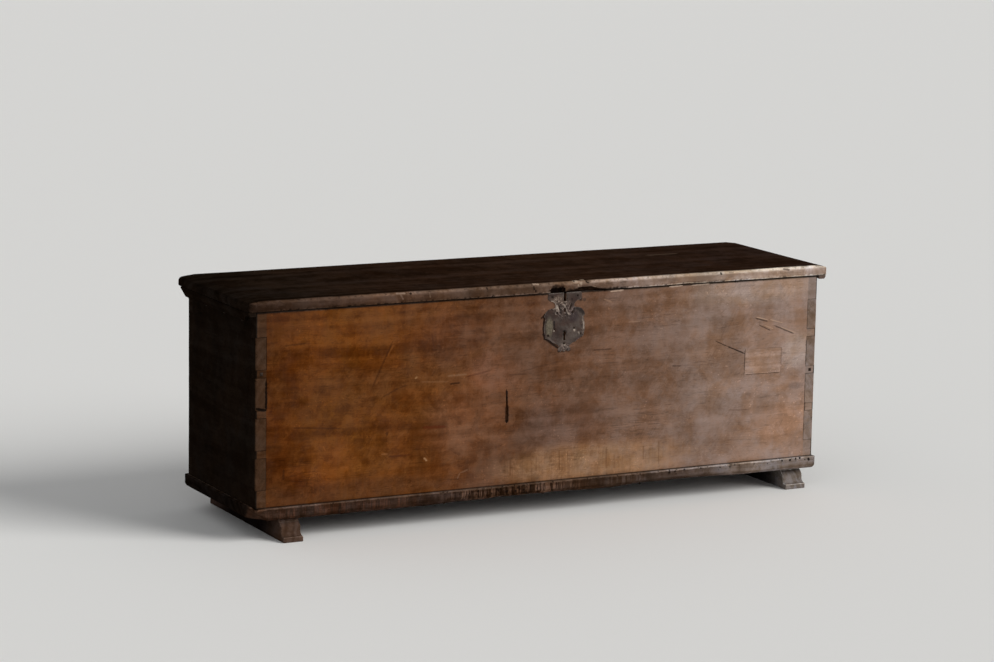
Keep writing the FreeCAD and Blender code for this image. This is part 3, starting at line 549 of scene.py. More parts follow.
class RubbedEdge(Effect):
    """Turns a piece's nearness to its arrises into broken patches of rubbed surface."""

    name = "rubbed_edge"
    inputs = {
        "Vector": (SocketKind.VECTOR, 0.0),
        "Arris": (SocketKind.VALUE, 0.0),
        "Grain": (SocketKind.VALUE, 45.0),
    }
    outputs = ("Mask",)

    @classmethod
    def build(cls, graph: Graph, given: bpy.types.NodeOutputs) -> dict[str, Socket]:
        """Builds the mask: the nearer to an arris, the more of the surface is rubbed.

        Args:
            graph: The group's graph.
            given: What comes into the group.

        Returns:
            What the group puts out, by name.
        """
        broken = graph.noise(given["Vector"], Texture(given["Grain"], 4.0, 0.7))
        reach = graph.math("SUBTRACT", graph.math("ADD", given["Arris"], broken), 1.0)
        return {"Mask": graph.ramp(reach, -0.12, 0.22)}


class ForgedSkin(Effect):
    """Hammer marks, pits and rust of forged iron."""

    name = "forged_skin"
    inputs = {"Vector": (SocketKind.VECTOR, 0.0), "Rust": (SocketKind.VALUE, 0.5)}
    outputs = ("Rust", "Pits", "Hammer")

    PATCHES = Texture(55.0, 5.0, 0.7)
    PIT_SCALE = 420.0
    HAMMER_SCALE = 95.0

    @classmethod
    def build(cls, graph: Graph, given: bpy.types.NodeOutputs) -> dict[str, Socket]:
        """Builds rust in cloudy patches, pits as small dots, and shallow hammer marks.

        Args:
            graph: The group's graph.
            given: What comes into the group.

        Returns:
            What the group puts out, by name.
        """
        place = given["Vector"]
        level = graph.centred(graph.math("ADD", graph.noise(place, cls.PATCHES), given["Rust"]))
        dots = graph.add("TexVoronoi", {"Vector": place, "Scale": cls.PIT_SCALE})
        hammer = graph.add("TexVoronoi", {"Vector": place, "Scale": cls.HAMMER_SCALE}, feature="SMOOTH_F1")
        return {
            "Rust": graph.ramp(level, 0.35, 0.68),
            "Pits": graph.ramp(dots.outputs["Distance"], 0.12, 0.34, 1.0, 0.0),
            "Hammer": hammer.outputs["Distance"],
        }


# Finishes


@dataclass(frozen=True)
class Spot:
    """A patch of another colour on a finish."""

    centre: Point
    size: Point
    colour: Colour
    amount: float = 0.6
    ragged: float = 0.8


@dataclass(frozen=True)
class Tint:
    """A colour at a place along the chest. Between two tints the colour changes smoothly. Rows that grow
    paler towards the right end partly paint the light that falls from the right.
    """

    at: float
    colour: Colour


@dataclass(frozen=True)
class Rind:
    """Another colour for the part of a piece beyond a plane, such as end grain, a worn rim, a painted
    shadow and a painted highlight.
    """

    axis: Axis
    start: float
    full: float
    tints: tuple[Tint, ...]
    amount: float = 0.9


CRACK_DARK: Colour = (0.012, 0.007, 0.005)


@dataclass(frozen=True)
class Mark:
    """A dark or pale line on a finish: a scratch, a crack, a seam, a painted shadow or a painted highlight.
    """

    start: Point
    end: Point
    width: float
    colour: Colour = CRACK_DARK
    amount: float = 0.85
    depth: float = 0.0


class Finish:
    """A finish makes one material and gives it to pieces."""

    name: str

    def material(self) -> bpy.types.Material:
        """Looks the finish's material up, and builds it the first time.

        Returns:
            The material.
        """
        label = "aged_" + self.name
        found = bpy.data.materials.get(label)
        if found is None:
            found = bpy.data.materials.new(label)
            found.use_nodes = True
            found.node_tree.nodes.clear()
            graph = Graph(found.node_tree)
            surface = graph.add("BsdfPrincipled")
            graph.add("OutputMaterial", {"Surface": surface.outputs[0]})
            self.fill(graph, surface)
        return found

    def fill(self, graph: Graph, surface: bpy.types.Node) -> None:
        """Builds the nodes that feed the surface shader."""
        raise NotImplementedError

    def dress(self, piece: bpy.types.Object) -> None:
        """Makes this finish the piece's only material."""
        piece.data.materials.clear()
        piece.data.materials.append(self.material())

    def shaded(self, graph: Graph, colour: Value, shade: Value) -> Socket:
        """Darkens or lightens a colour.

        Args:
            graph: The material's graph.
            colour: The colour.
            shade: A number, or another colour, that it is multiplied by.

        Returns:
            The shaded colour.
        """
        if isinstance(shade, float):
            return graph.scaled(colour, shade)
        return graph.vector("MULTIPLY", colour, shade)

    def spot_mask(self, graph: Graph, place: Socket, spot: Spot) -> Socket:
        """Returns how far a spot covers the surface."""
        inputs = {"vector": place, "centre": spot.centre, "size": spot.size, "ragged": spot.ragged}
        return graph.math("MULTIPLY", graph.group(SoftSpot.tree(), **inputs).outputs["Mask"], spot.amount)

    def marked(
        self, graph: Graph, place: Socket, colour: Socket, marks: tuple[Mark, ...]
    ) -> tuple[Socket, Value]:
        """Draws the scratches, cracks and seams.

        Args:
            graph: The material's graph.
            place: The surface's coordinates.
            colour: The colour under the marks.
            marks: The marks.

        Returns:
            The colour with the marks, and how deep they cut.
        """
        cuts: Value = 0.0
        for mark in marks:
            run = tuple(b - a for a, b in zip(mark.start, mark.end))
            line = graph.group(LineMark.tree(), vector=place, start=mark.start, run=run, width=mark.width)
            mask = line.outputs["Mask"]
            colour = graph.mix(graph.math("MULTIPLY", mask, mark.amount), colour, mark.colour)
            if mark.depth:
                cuts = graph.math("ADD", cuts, graph.math("MULTIPLY", mask, mark.depth))
        return colour, cuts


@dataclass(frozen=True)
class WoodFinish(Finish):
    """Old walnut, with its figure, patina, worn arrises, stains and scratches, and painted light, shade and
    sheen.
    """

    name: str
    tints: tuple[Tint, ...]
    # Colours of rubbed arrises; where they grow pale towards the right end they also paint highlights.
    rubbed: tuple[Tint, ...]
    contrast: tuple[float, float] = (0.4, 0.4)
    # Cloudy patches of wax bloom, which also paint sheen where their tints grow pale towards the right end.
    bloom_and_sheen: tuple[Tint, ...] = ()
    bloom_and_sheen_share: float = 0.22
    craze: float = 0.22
    along: Axis = Axis.X
    pith: Point = (0.0, 0.16, -0.25)
    rings: float = 62.0
    warp: float = 0.05
    banding: float = 0.5
    roughness: float = 0.6
    gloss: float = 0.0
    wax: float = 0.0
    rub: float = 0.75
    rub_grain: float = 38.0
    nicks: float = 0.62
    relief: float = 0.35
    scuffs: float = 0.28
    flecks: float = 0.5
    slant: float = 1.05
    shift: Point = (0.0, 0.0, 0.0)
    rinds: tuple[Rind, ...] = ()
    spots: tuple[Spot, ...] = ()
    streaks: tuple[Spot, ...] = ()
    comb: tuple[float, float, float] = (0.26, 0.6, 0.5)
    holes: tuple[Spot, ...] = ()
    marks: tuple[Mark, ...] = ()
    bare: Colour = tone(128, 98, 72)

    GREYING = (1.0, 1.2, 1.5)
    WARM = (1.04, 0.985, 0.91)
    COOL = (0.96, 1.02, 1.1)
    DIRT = tone(20, 12, 8)
    WAX_ROUGHNESS = 0.32
    WAX_FADE = (0.7 * MM, 1.4 * MM)
    TINT_SHIFT = 0.22
    WORM_SCALE = 72.0
    BUMP_HEIGHT = 0.6 * MM
    CUT_HEIGHT = 2.5

    SHIFTS = Texture(3.6, 4.0, 0.62)
    HAZE = Texture(15.0, 4.0, 0.66)
    SEAM_BREAKS = Texture(23.0)
    WAX_PATCHES = Texture(7.0, 4.0, 0.7)
    WARMTH = Texture(10.0, 4.0, 0.7, 0.4)
    COMBED = Texture(1.0, 5.0, 0.8, stretch=(95.0, 95.0, 5.0))
    NICKS = Texture(85.0, 3.0, 0.6)
    WORM_SHIFTS = Texture(90.0)
    FLECKS = Texture(150.0, 2.0, 0.6)
    FLECK_PATCHES = Texture(6.0)
    HANDLED = Texture(9.0, 3.0, 0.6)
    DENTS = Texture(60.0)

    def grain_vector(self, graph: Graph, place: Socket) -> Socket:
        """Turns the piece's own coordinates so that the grain runs along X.

        Args:
            graph: The material's graph.
            place: The surface's coordinates.

        Returns:
            The turned coordinates.
        """
        moved = graph.vector("ADD", place, self.shift)
        if self.along is Axis.X:
            return moved
        parts = graph.add("SeparateXYZ", {0: moved}).outputs
        order = {Axis.Y: (1, 0, 2), Axis.Z: (2, 1, 0)}[self.along]
        return graph.add("CombineXYZ", {i: parts[source] for i, source in enumerate(order)}).outputs[0]

    def tinted(self, graph: Graph, where: Socket, tints: tuple[Tint, ...]) -> Value:
        """Returns the colour of a row of tints.

        Args:
            graph: The material's graph.
            where: The place along the chest, from 0 at its left end to 1 at its right.
            tints: The tints, from left to right.

        Returns:
            The one tint's colour, or a ramp's output.
        """
        if len(tints) == 1:
            return tints[0].colour
        ramp = graph.add("ValToRGB", {0: where})
        stops = ramp.color_ramp.elements
        for index, tint in enumerate(tints):
            stop = stops[index] if index < 2 else stops.new(1.0)
            stop.position = (tint.at + HALF_LENGTH) / (2 * HALF_LENGTH)
            stop.color = (*tint.colour, 1.0)
        return ramp.outputs["Color"]

    def fill(self, graph: Graph, surface: bpy.types.Node) -> None:
        """Builds colour, roughness and bump from the figure and the marks.

        Args:
            graph: The material's graph.
            surface: The shader that takes them.
        """
        place = graph.add("TexCoord").outputs["Object"]
        grain = self.grain_vector(graph, place)
        figure = graph.group(
            WoodFigure.tree(),
            vector=grain,
            pith=self.pith,
            rings=self.rings,
            warp=self.warp,
            banding=self.banding,
        ).outputs
        shift = graph.math("MULTIPLY", graph.centred(graph.noise(place, self.SHIFTS)), self.TINT_SHIFT)
        across = graph.add("SeparateXYZ", {0: place}).outputs
        share = graph.math("ADD", graph.math("MULTIPLY", across[0], 0.5 / HALF_LENGTH), 0.5)
        where = graph.math("ADD", shift, share)
        shade = self.shading(graph, place, figure["Tone"], share)
        colour = self.shaded(graph, self.tinted(graph, where, self.tints), shade)
        for spot in self.spots:
            mask = self.spot_mask(graph, place, spot)
            colour = graph.mix(mask, colour, self.shaded(graph, spot.colour, shade))
        colour = self.streaked(graph, place, shade, colour)
        # Pale patches of wax bloom and painted sheen.
        if self.bloom_and_sheen:
            hazed = graph.ramp(graph.noise(place, self.HAZE), 0.4, 0.68, 0.0, self.bloom_and_sheen_share)
            colour = graph.mix(hazed, colour, self.tinted(graph, where, self.bloom_and_sheen))
        rubbed = self.rubbing(graph, place)
        pale = self.shaded(graph, self.tinted(graph, where, self.rubbed), shade)
        colour = graph.mix(rubbed, colour, pale)
        for rind in self.rinds:
            mask = graph.ramp(across[rind.axis.value], rind.start, rind.full, 0.0, rind.amount)
            rim = self.shaded(graph, self.tinted(graph, where, rind.tints), shade)
            colour = graph.mix(mask, colour, rim)
        colour = graph.mix(graph.mask("inside"), colour, self.shaded(graph, self.bare, shade))
        fine = graph.math("MAXIMUM", figure["Pores"], figure["Lines"])
        colour = graph.mix(graph.math("MULTIPLY", fine, 0.5), colour, self.shaded(graph, colour, 0.4))
        colour = self.nicked(graph, place, colour)
        colour = self.wormed(graph, place, colour)
        colour = self.scuffed(graph, place, colour)
        colour, cuts = self.marked(graph, place, colour, self.marks)
        dirty = graph.ramp(graph.noise(place, self.SEAM_BREAKS), 0.25, 0.6, 0.25, 0.9)
        dirty = graph.math("MULTIPLY", graph.mask("seam"), dirty)
        graph.put(surface.inputs["Base Color"], graph.mix(dirty, colour, self.DIRT))
        graph.put(surface.inputs["Roughness"], self.dullness(graph, place, figure["Tone"], rubbed))
        graph.put(surface.inputs["Specular IOR Level"], self.gloss)
        if self.wax:
            fade = (BOX_FRONT + depth for depth in self.WAX_FADE)
            faced = graph.ramp(across[1], *fade, self.wax, 0.0)
            kept = graph.ramp(graph.noise(place, self.WAX_PATCHES), 0.4, 0.62)
            graph.put(surface.inputs["Coat Weight"], graph.math("MULTIPLY", faced, kept))
            graph.put(surface.inputs["Coat Roughness"], self.WAX_ROUGHNESS)
        self.raise_relief(graph, surface, place, figure, cuts)

    def shading(self, graph: Graph, place: Socket, figure: Socket, share: Socket) -> Socket:
        """Turns the figure into light and dark, of which the light is the greyer.

        Args:
            graph: The material's graph.
            place: The surface's coordinates.
            figure: The wood's figure, about one half on the whole.
            share: The place along the chest, from 0 to 1.

        Returns:
            What the wood's own colour is multiplied by.
        """
        depth = graph.ramp(share, 0.0, 1.0, *self.contrast)
        swing = graph.math("MULTIPLY", graph.ramp(figure, 0.22, 0.78, -1.0, 1.0), depth)
        level = graph.math("ADD", swing, 1.0)
        channels = {i: graph.math("POWER", level, power) for i, power in enumerate(self.GREYING)}
        warm = graph.ramp(graph.noise(place, self.WARMTH), 0.36, 0.64)
        light = graph.add("CombineXYZ", channels).outputs[0]
        return self.shaded(graph, graph.mix(warm, self.COOL, self.WARM), light)

    def streaked(self, graph: Graph, place: Socket, shade: Socket, colour: Socket) -> Socket:
        """Lays the streaked patches over the colour, combed by upright lines.

        Args:
            graph: The material's graph.
            place: The surface's coordinates.
            shade: The wood's own light and dark.
            colour: The colour under the patches.

        Returns:
            The colour with the patches.
        """
        for spot in self.streaks:
            moved = graph.vector("ADD", place, spot.centre)
            combed = graph.ramp(graph.noise(moved, self.COMBED), *self.comb, 1.0)
            mask = graph.math("MULTIPLY", self.spot_mask(graph, place, spot), combed)
            colour = graph.mix(mask, colour, self.shaded(graph, spot.colour, shade))
        return colour

    def rubbing(self, graph: Graph, place: Socket) -> Socket:
        """Rubs the surface, most of all at the arrises.

        Args:
            graph: The material's graph.
            place: The surface's coordinates.

        Returns:
            How far the surface is rubbed.
        """
        arris = graph.mask("arris")
        edge = graph.group(RubbedEdge.tree(), vector=place, arris=arris, grain=self.rub_grain)
        return graph.math("MULTIPLY", edge.outputs["Mask"], self.rub)

    def nicked(self, graph: Graph, place: Socket, colour: Socket) -> Socket:
        """Darkens small nicks along the arrises.

        Args:
            graph: The material's graph.
            place: The surface's coordinates.
            colour: The colour under the nicks.

        Returns:
            The colour with the nicks.
        """
        nicks = graph.ramp(graph.noise(place, self.NICKS), self.nicks, self.nicks + 0.05)
        nicks = graph.math("MULTIPLY", nicks, graph.ramp(graph.mask("arris"), 0.2, 0.6, 0.0, 0.85))
        return graph.mix(nicks, colour, self.shaded(graph, colour, 0.25))

    def wormed(self, graph: Graph, place: Socket, colour: Socket) -> Socket:
        """Bores small dark holes into the patches where worms have been.

        Args:
            graph: The material's graph.
            place: The surface's coordinates.
            colour: The colour round the holes.

        Returns:
            The colour with the holes.
        """
        if not self.holes:
            return colour
        shifts = graph.math("MULTIPLY", graph.noise(place, self.WORM_SHIFTS), 0.35)
        dots = graph.add("TexVoronoi", {"Vector": place, "Scale": self.WORM_SCALE}).outputs["Distance"]
        dots = graph.ramp(graph.math("ADD", dots, shifts), 0.36, 0.44, 1.0, 0.0)
        for spot in self.holes:
            mask = graph.math("MULTIPLY", dots, self.spot_mask(graph, place, spot))
            colour = graph.mix(mask, colour, spot.colour)
        return colour

    def scuffed(self, graph: Graph, place: Socket, colour: Socket) -> Socket:
        """Draws fine dark and pale scratches, the cracks of the varnish and pale flecks.

        Args:
            graph: The material's graph.
            place: The surface's coordinates.
            colour: The colour under them.

        Returns:
            The colour with the scratches, cracks and flecks.
        """
        for slant, shade in ((self.slant, 0.55), (self.slant - 0.5, 1.4)):
            mask = graph.group(Scuffs.tree(), vector=place, slant=slant, cover=0.55).outputs["Mask"]
            mask = graph.math("MULTIPLY", mask, self.scuffs)
            colour = graph.mix(mask, colour, self.shaded(graph, colour, shade))
        craze = graph.math("MULTIPLY", graph.group(Craze.tree(), vector=place).outputs["Mask"], self.craze)
        colour = graph.mix(craze, colour, self.shaded(graph, colour, 0.5))
        flecks = graph.ramp(graph.noise(place, self.FLECKS), 0.66, 0.72, 0.0, self.flecks)
        patches = graph.ramp(graph.noise(place, self.FLECK_PATCHES), 0.46, 0.6)
        flecks = graph.math("MULTIPLY", flecks, patches)
        return graph.mix(flecks, colour, self.shaded(graph, colour, 2.2))

    def dullness(self, graph: Graph, place: Socket, figure: Socket, rubbed: Socket) -> Socket:
        """Makes the surface smoother where it was handled, and dry in other places.

        Args:
            graph: The material's graph.
            place: The surface's coordinates.
            figure: The wood's figure, about one half on the whole.
            rubbed: How far the surface is rubbed.

        Returns:
            The roughness.
        """
        handled = graph.noise(place, self.HANDLED)
        rough = graph.ramp(handled, 0.3, 0.7, self.roughness - 0.12, self.roughness + 0.14)
        rough = graph.math("ADD", rough, graph.math("MULTIPLY", graph.centred(figure), 0.25))
        return graph.math("ADD", rough, graph.math("MULTIPLY", rubbed, -0.06), clamp=True)

    def raise_relief(
        self,
        graph: Graph,
        surface: bpy.types.Node,
        place: Socket,
        figure: bpy.types.NodeOutputs,
        cuts: Value,
    ) -> None:
        """Feeds the shader's normal with the fibres, pores, dents and cuts.

        Args:
            graph: The material's graph.
            surface: The shader that takes the normal.
            place: The surface's coordinates.
            figure: What the wood's figure puts out.
            cuts: How deep the marks cut.
        """
        dents = graph.ramp(graph.noise(place, self.DENTS), 0.62, 0.8)
        height = graph.math("MULTIPLY", figure["Fibre"], 0.35)
        height = graph.math("ADD", height, graph.math("MULTIPLY", figure["Tone"], 0.4))
        height = graph.math("SUBTRACT", height, graph.math("MULTIPLY", figure["Pores"], 0.5))
        height = graph.math("SUBTRACT", height, graph.math("MULTIPLY", dents, 0.5))
        height = graph.math("SUBTRACT", height, graph.math("MULTIPLY", cuts, self.CUT_HEIGHT))
        bump = graph.add("Bump", {"Height": height, "Strength": self.relief, "Distance": self.BUMP_HEIGHT})
        graph.put(surface.inputs["Normal"], bump.outputs[0])


@dataclass(frozen=True)
class IronFinish(Finish):
    """Forged iron that has gone brown, with pits, rust and brighter rubbed places."""

    name: str
    skin: Colour
    rust_colour: Colour
    bright: Colour
    rust: float = 0.5
    roughness: float = 0.58
    metal: float = 0.06
    gloss: float = 0.1
    relief: float = 0.5
    spots: tuple[Spot, ...] = ()
    torn: tuple[Spot, ...] = ()
    marks: tuple[Mark, ...] = ()

    PIT_DARK = tone(14, 11, 10)
    RUB_GRAIN = 160.0
    WORN_SHARE = 0.3
    BUMP_HEIGHT = 0.5 * MM
    HAMMER_SHARE = 1.2

    CLOUDS = Texture(28.0, 3.0)
    FLAKES = Texture(240.0, 3.0, 0.7, 1.0)
    SAND = Texture(300.0, 3.0)

    def fill(self, graph: Graph, surface: bpy.types.Node) -> None:
        """Builds colour, roughness, metal and bump from the forged skin.

        Args:
            graph: The material's graph.
            surface: The shader that takes them.
        """
        place = graph.add("TexCoord").outputs["Object"]
        skin = graph.group(ForgedSkin.tree(), vector=place, rust=self.rust).outputs
        edge = graph.group(RubbedEdge.tree(), vector=place, arris=graph.mask("arris"), grain=self.RUB_GRAIN)
        rubbed = edge.outputs["Mask"]
        worn = tuple(dull + self.WORN_SHARE * (pale - dull) for dull, pale in zip(self.skin, self.bright))
        colour = graph.mix(graph.ramp(graph.noise(place, self.CLOUDS), 0.3, 0.7), self.skin, worn)
        colour = graph.mix(graph.math("MULTIPLY", skin["Rust"], 0.75), colour, self.rust_colour)
        for spot in self.spots:
            colour = graph.mix(self.spot_mask(graph, place, spot), colour, spot.colour)
        flakes = graph.noise(place, self.FLAKES)
        for spot in self.torn:
            mask = self.spot_mask(graph, place, spot)
            pale = graph.math("MULTIPLY", mask, graph.ramp(flakes, 0.52, 0.6))
            colour = graph.mix(pale, colour, spot.colour)
            dark = graph.math("MULTIPLY", mask, graph.ramp(flakes, 0.46, 0.39))
            colour = graph.mix(dark, colour, self.shaded(graph, self.skin, 0.25))
        colour = graph.mix(graph.math("MULTIPLY", rubbed, 0.6), colour, self.bright)
        colour = graph.mix(graph.math("MULTIPLY", skin["Pits"], 0.6), colour, self.PIT_DARK)
        colour, cuts = self.marked(graph, place, colour, self.marks)
        graph.put(surface.inputs["Base Color"], colour)
        graph.put(surface.inputs["Specular IOR Level"], self.gloss)
        metal = graph.math("MULTIPLY", graph.math("SUBTRACT", 1.0, skin["Rust"]), self.metal)
        graph.put(surface.inputs["Metallic"], metal)
        rough = graph.math("ADD", graph.math("MULTIPLY", skin["Rust"], 0.28), self.roughness - 0.1)
        rough = graph.math("SUBTRACT", rough, graph.math("MULTIPLY", rubbed, 0.15))
        graph.put(surface.inputs["Roughness"], rough)
        hammer = graph.math("MULTIPLY", skin["Hammer"], self.HAMMER_SHARE)
        height = graph.math("ADD", hammer, graph.noise(place, self.SAND))
        height = graph.math("SUBTRACT", height, graph.math("ADD", skin["Pits"], cuts))
        bump = graph.add("Bump", {"Height": height, "Strength": self.relief, "Distance": self.BUMP_HEIGHT})
        graph.put(surface.inputs["Normal"], bump.outputs[0])


# Worn meshes


@dataclass(frozen=True)
class Arris:
    """A long outer edge where two faces of the chest meet, and how far it is rounded."""

    first: Axis
    first_at: float
    second: Axis
    second_at: float
    radius: float
    spread: float = 0.5

    REACH = 6 * MM
    LUMPS = ((0.6, 55 * MM, 3.1), (0.4, 14 * MM, 5.7))

    def round(self, point: Vector) -> float:
        """Moves a point near the arris on to its rounding.

        Args:
            point: The point, which is moved in place.

        Returns:
            How near the point is to the arris, from 0 to 1.
        """
        a, b = self.first.value, self.second.value
        sign_a, sign_b = math.copysign(1, self.first_at), math.copysign(1, self.second_at)
        depth_a = sign_a * (self.first_at - point[a])
        depth_b = sign_b * (self.second_at - point[b])
        nearness = math.exp(-math.hypot(depth_a, depth_b) / self.REACH)
        lumps = sum(share * waves(point, size, seed) for share, size, seed in self.LUMPS)
        radius = self.radius * (1 + self.spread * lumps)
        if depth_a < radius and depth_b < radius:
            inner_a, inner_b = radius - depth_a, radius - depth_b
            scale = max(inner_a, inner_b) / math.hypot(inner_a, inner_b)
            point[a] = self.first_at - sign_a * (radius - inner_a * scale)
            point[b] = self.second_at - sign_b * (radius - inner_b * scale)
        return nearness


@dataclass(frozen=True)
class Chip:
    """A bite out of an arris: points near it are drawn towards the middle of the chest."""

    centre: Point
    size: Point
    depth: float
    towards: Point

    def sink(self, point: Vector) -> None:
        """Moves a point that lies in the chip.

        Args:
            point: The point, which is moved in place.
        """
        offset = Vector([(p - c) / s for p, c, s in zip(point, self.centre, self.size)])
        share = smooth(1.0, 0.35, offset.length + 0.25 * waves(point, 6 * MM, seed=9.2))
        point += Vector(self.towards) * (self.depth * share)


def spaced(low: float, high: float, step: float) -> list[float]:
    """Evenly spaced places from low to high, both left out."""
    count = max(1, round((high - low) / step))
    return [low + (high - low) * n / count for n in range(1, count)]


def beside(places: Iterable[float], offsets: Iterable[float]) -> list[float]:
    """Each place shifted by each offset, both ways."""
    shifts = list(offsets)
    return [place + sign * shift for place in places for shift in shifts for sign in (-1, 1)]


def edge_lines(low: float, high: float, offsets: Iterable[float]) -> list[float]:
    """Places at the offsets inside both ends of a stretch."""
    return [place for shift in offsets for place in (low + shift, high - shift) if low < place < high]


@dataclass
class WornPiece:
    """A worn copy of a CAD node, which it replaces."""

    node: str
    body: Body
    finish: Finish
    slot: str
    grid: float = 20 * MM
    fine: tuple[float, ...] = (1.5 * MM, 3 * MM, 5 * MM, 8 * MM, 12 * MM)
    extra: dict[Axis, list[float]] = field(default_factory=dict)
    arrises: list[Arris] = field(default_factory=list)
    chips: list[Chip] = field(default_factory=list)
    ripple: float = 0.35 * MM
    shaping: Callable[[Vector, Vector], None] | None = None
    seam: Callable[[Vector], bool] | None = None
    edge: float = 0.0
    sharp: float = 32.0

    SAME = 0.005 * MM
    CLOSEST = 0.4 * MM
    SLACK = 0.1 * MM
    FLAT_ANGLE = 0.5
    EDGE_ANGLE = 35.0

    def cut_grid(self, mesh: bmesh.types.BMesh) -> None:
        """Cuts the mesh into a grid that is fine near its edges.

        Args:
            mesh: The mesh, which is cut in place.
        """
        low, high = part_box(self.node)
        spans = sorted(Axis, key=lambda axis: high[axis.value] - low[axis.value])
        for axis in spans:
            index = axis.value
            lines = spaced(low[index], high[index], self.grid)
            lines += edge_lines(low[index], high[index], self.fine)
            lines += self.extra.get(axis, [])
            direction = Vector([float(i == index) for i in range(3)])
            last = -math.inf
            for place in sorted(lines):
                if place - last < self.CLOSEST or not low[index] < place < high[index]:
                    continue
                last = place
                bmesh.ops.bisect_plane(
                    mesh,
                    geom=mesh.verts[:] + mesh.edges[:] + mesh.faces[:],
                    dist=self.SAME,
                    plane_co=direction * place,
                    plane_no=direction,
                )

    def is_inside(self, point: Vector) -> bool:
        """Tells whether a point is on the inside of the closed chest, where no polish ever went.

        Args:
            point: The point.

        Returns:
            Whether it is.
        """
        between_ends = abs(point.x) < HALF_LENGTH - THICK + self.SLACK
        between_sides = abs(point.y) < HALF_DEPTH - THICK + self.SLACK
        between_boards = BASE_TOP - self.SLACK < point.z < LID_BOTTOM + 2 * self.SLACK
        return between_ends and between_sides and between_boards

    def on_edge(self, vertex: bmesh.types.BMVert) -> bool:
        """Tells whether a vertex lies on one of the piece's sharp edges."""
        limit = math.radians(self.EDGE_ANGLE)
        return any(len(e.link_faces) == 2 and e.calc_face_angle(0.0) > limit for e in vertex.link_edges)

    def build(self) -> bpy.types.Object:
        """Makes the worn copy, gives it its finish and puts it in the node's place.

        Returns:
            The piece.
        """
        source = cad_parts[self.node].data
        mesh = bmesh.new()
        mesh.from_mesh(source)
        bmesh.ops.remove_doubles(mesh, verts=mesh.verts, dist=self.SAME)
        flat = math.radians(self.FLAT_ANGLE)
        bmesh.ops.dissolve_limit(mesh, angle_limit=flat, verts=mesh.verts[:], edges=mesh.edges[:])
        self.cut_grid(mesh)
        ngons = [face for face in mesh.faces if len(face.verts) > 4]
        bmesh.ops.triangulate(mesh, faces=ngons)
        mesh.normal_update()
        mesh.verts.ensure_lookup_table()
        edges = [self.on_edge(vertex) for vertex in mesh.verts]
        jointed = self.seam is not None
        seams = [float(on and jointed and self.seam(v.co)) for v, on in zip(mesh.verts, edges)]
        inside = [float(self.is_inside(vertex.co)) for vertex in mesh.verts]
        nearness = [self.wear(vertex, on) for vertex, on in zip(mesh.verts, edges)]
        data = bpy.data.meshes.new("worn_" + self.node)
        mesh.to_mesh(data)
        mesh.free()
        for name, values in (("seam", seams), ("arris", nearness), ("inside", inside)):
            data.attributes.new(name, "FLOAT", "POINT").data.foreach_set("value", values)
        data.shade_smooth()
        data.set_sharp_from_angle(angle=math.radians(self.sharp))
        piece = bpy.data.objects.new("worn_" + self.node, data)
        bpy.context.scene.collection.objects.link(piece)
        self.finish.dress(piece)
        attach(piece, self.body.value)
        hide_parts(self.node)
        LOG.info("%s: %d faces", piece.name, len(data.polygons))
        return piece

    def wear(self, vertex: bmesh.types.BMVert, on_edge: bool) -> float:
        """Moves one vertex as use has worn it.

        Args:
            vertex: The vertex, which is moved in place.
            on_edge: Whether it lies on a sharp edge.

        Returns:
            How near it is to an outer arris, from 0 to 1.
        """
        point = vertex.co
        normal = vertex.normal.copy()
        at_rest = point.copy()
        nearness = 0.0
        for arris in self.arrises:
            nearness = max(nearness, arris.round(point))
        if self.edge and on_edge:
            point -= normal * (self.edge * (1 + 0.6 * waves(at_rest, 22 * MM, seed=8.3)))
            nearness = 1.0
        if self.ripple:
            hollow = 0.5 + 0.5 * waves(at_rest, 140 * MM, seed=1.3)
            point -= normal * (self.ripple * hollow)
        for chip in self.chips:
            chip.sink(point)
        if self.shaping is not None:
            self.shaping(point, at_rest)
        return nearness


@dataclass
class KeptNode:
    """A CAD node that stays and gets a finish, and soft edges where it has sharp ones."""

    node: str
    finish: Finish
    bevel: float = 0.3 * MM
    segments: int = 2

    WELD = 0.01 * MM
    ANGLE = 35.0

    def build(self) -> bpy.types.Object:
        """Dresses the node.

        Returns:
            The node's own object.
        """
        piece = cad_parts[self.node]
        for slot in piece.material_slots:
            slot.material = self.finish.material()
        if self.bevel:
            weld = piece.modifiers.new("weld", "WELD")
            weld.merge_threshold = self.WELD
            soft = piece.modifiers.new("soft_edges", "BEVEL")
            soft.width = self.bevel
            soft.segments = self.segments
            soft.limit_method = "ANGLE"
            soft.angle_limit = math.radians(self.ANGLE)
            soft.harden_normals = False
        LOG.info("%s: kept", piece.name)
        return piece


# The chest's own finishes, with painted light, shade and sheen in some of their colours


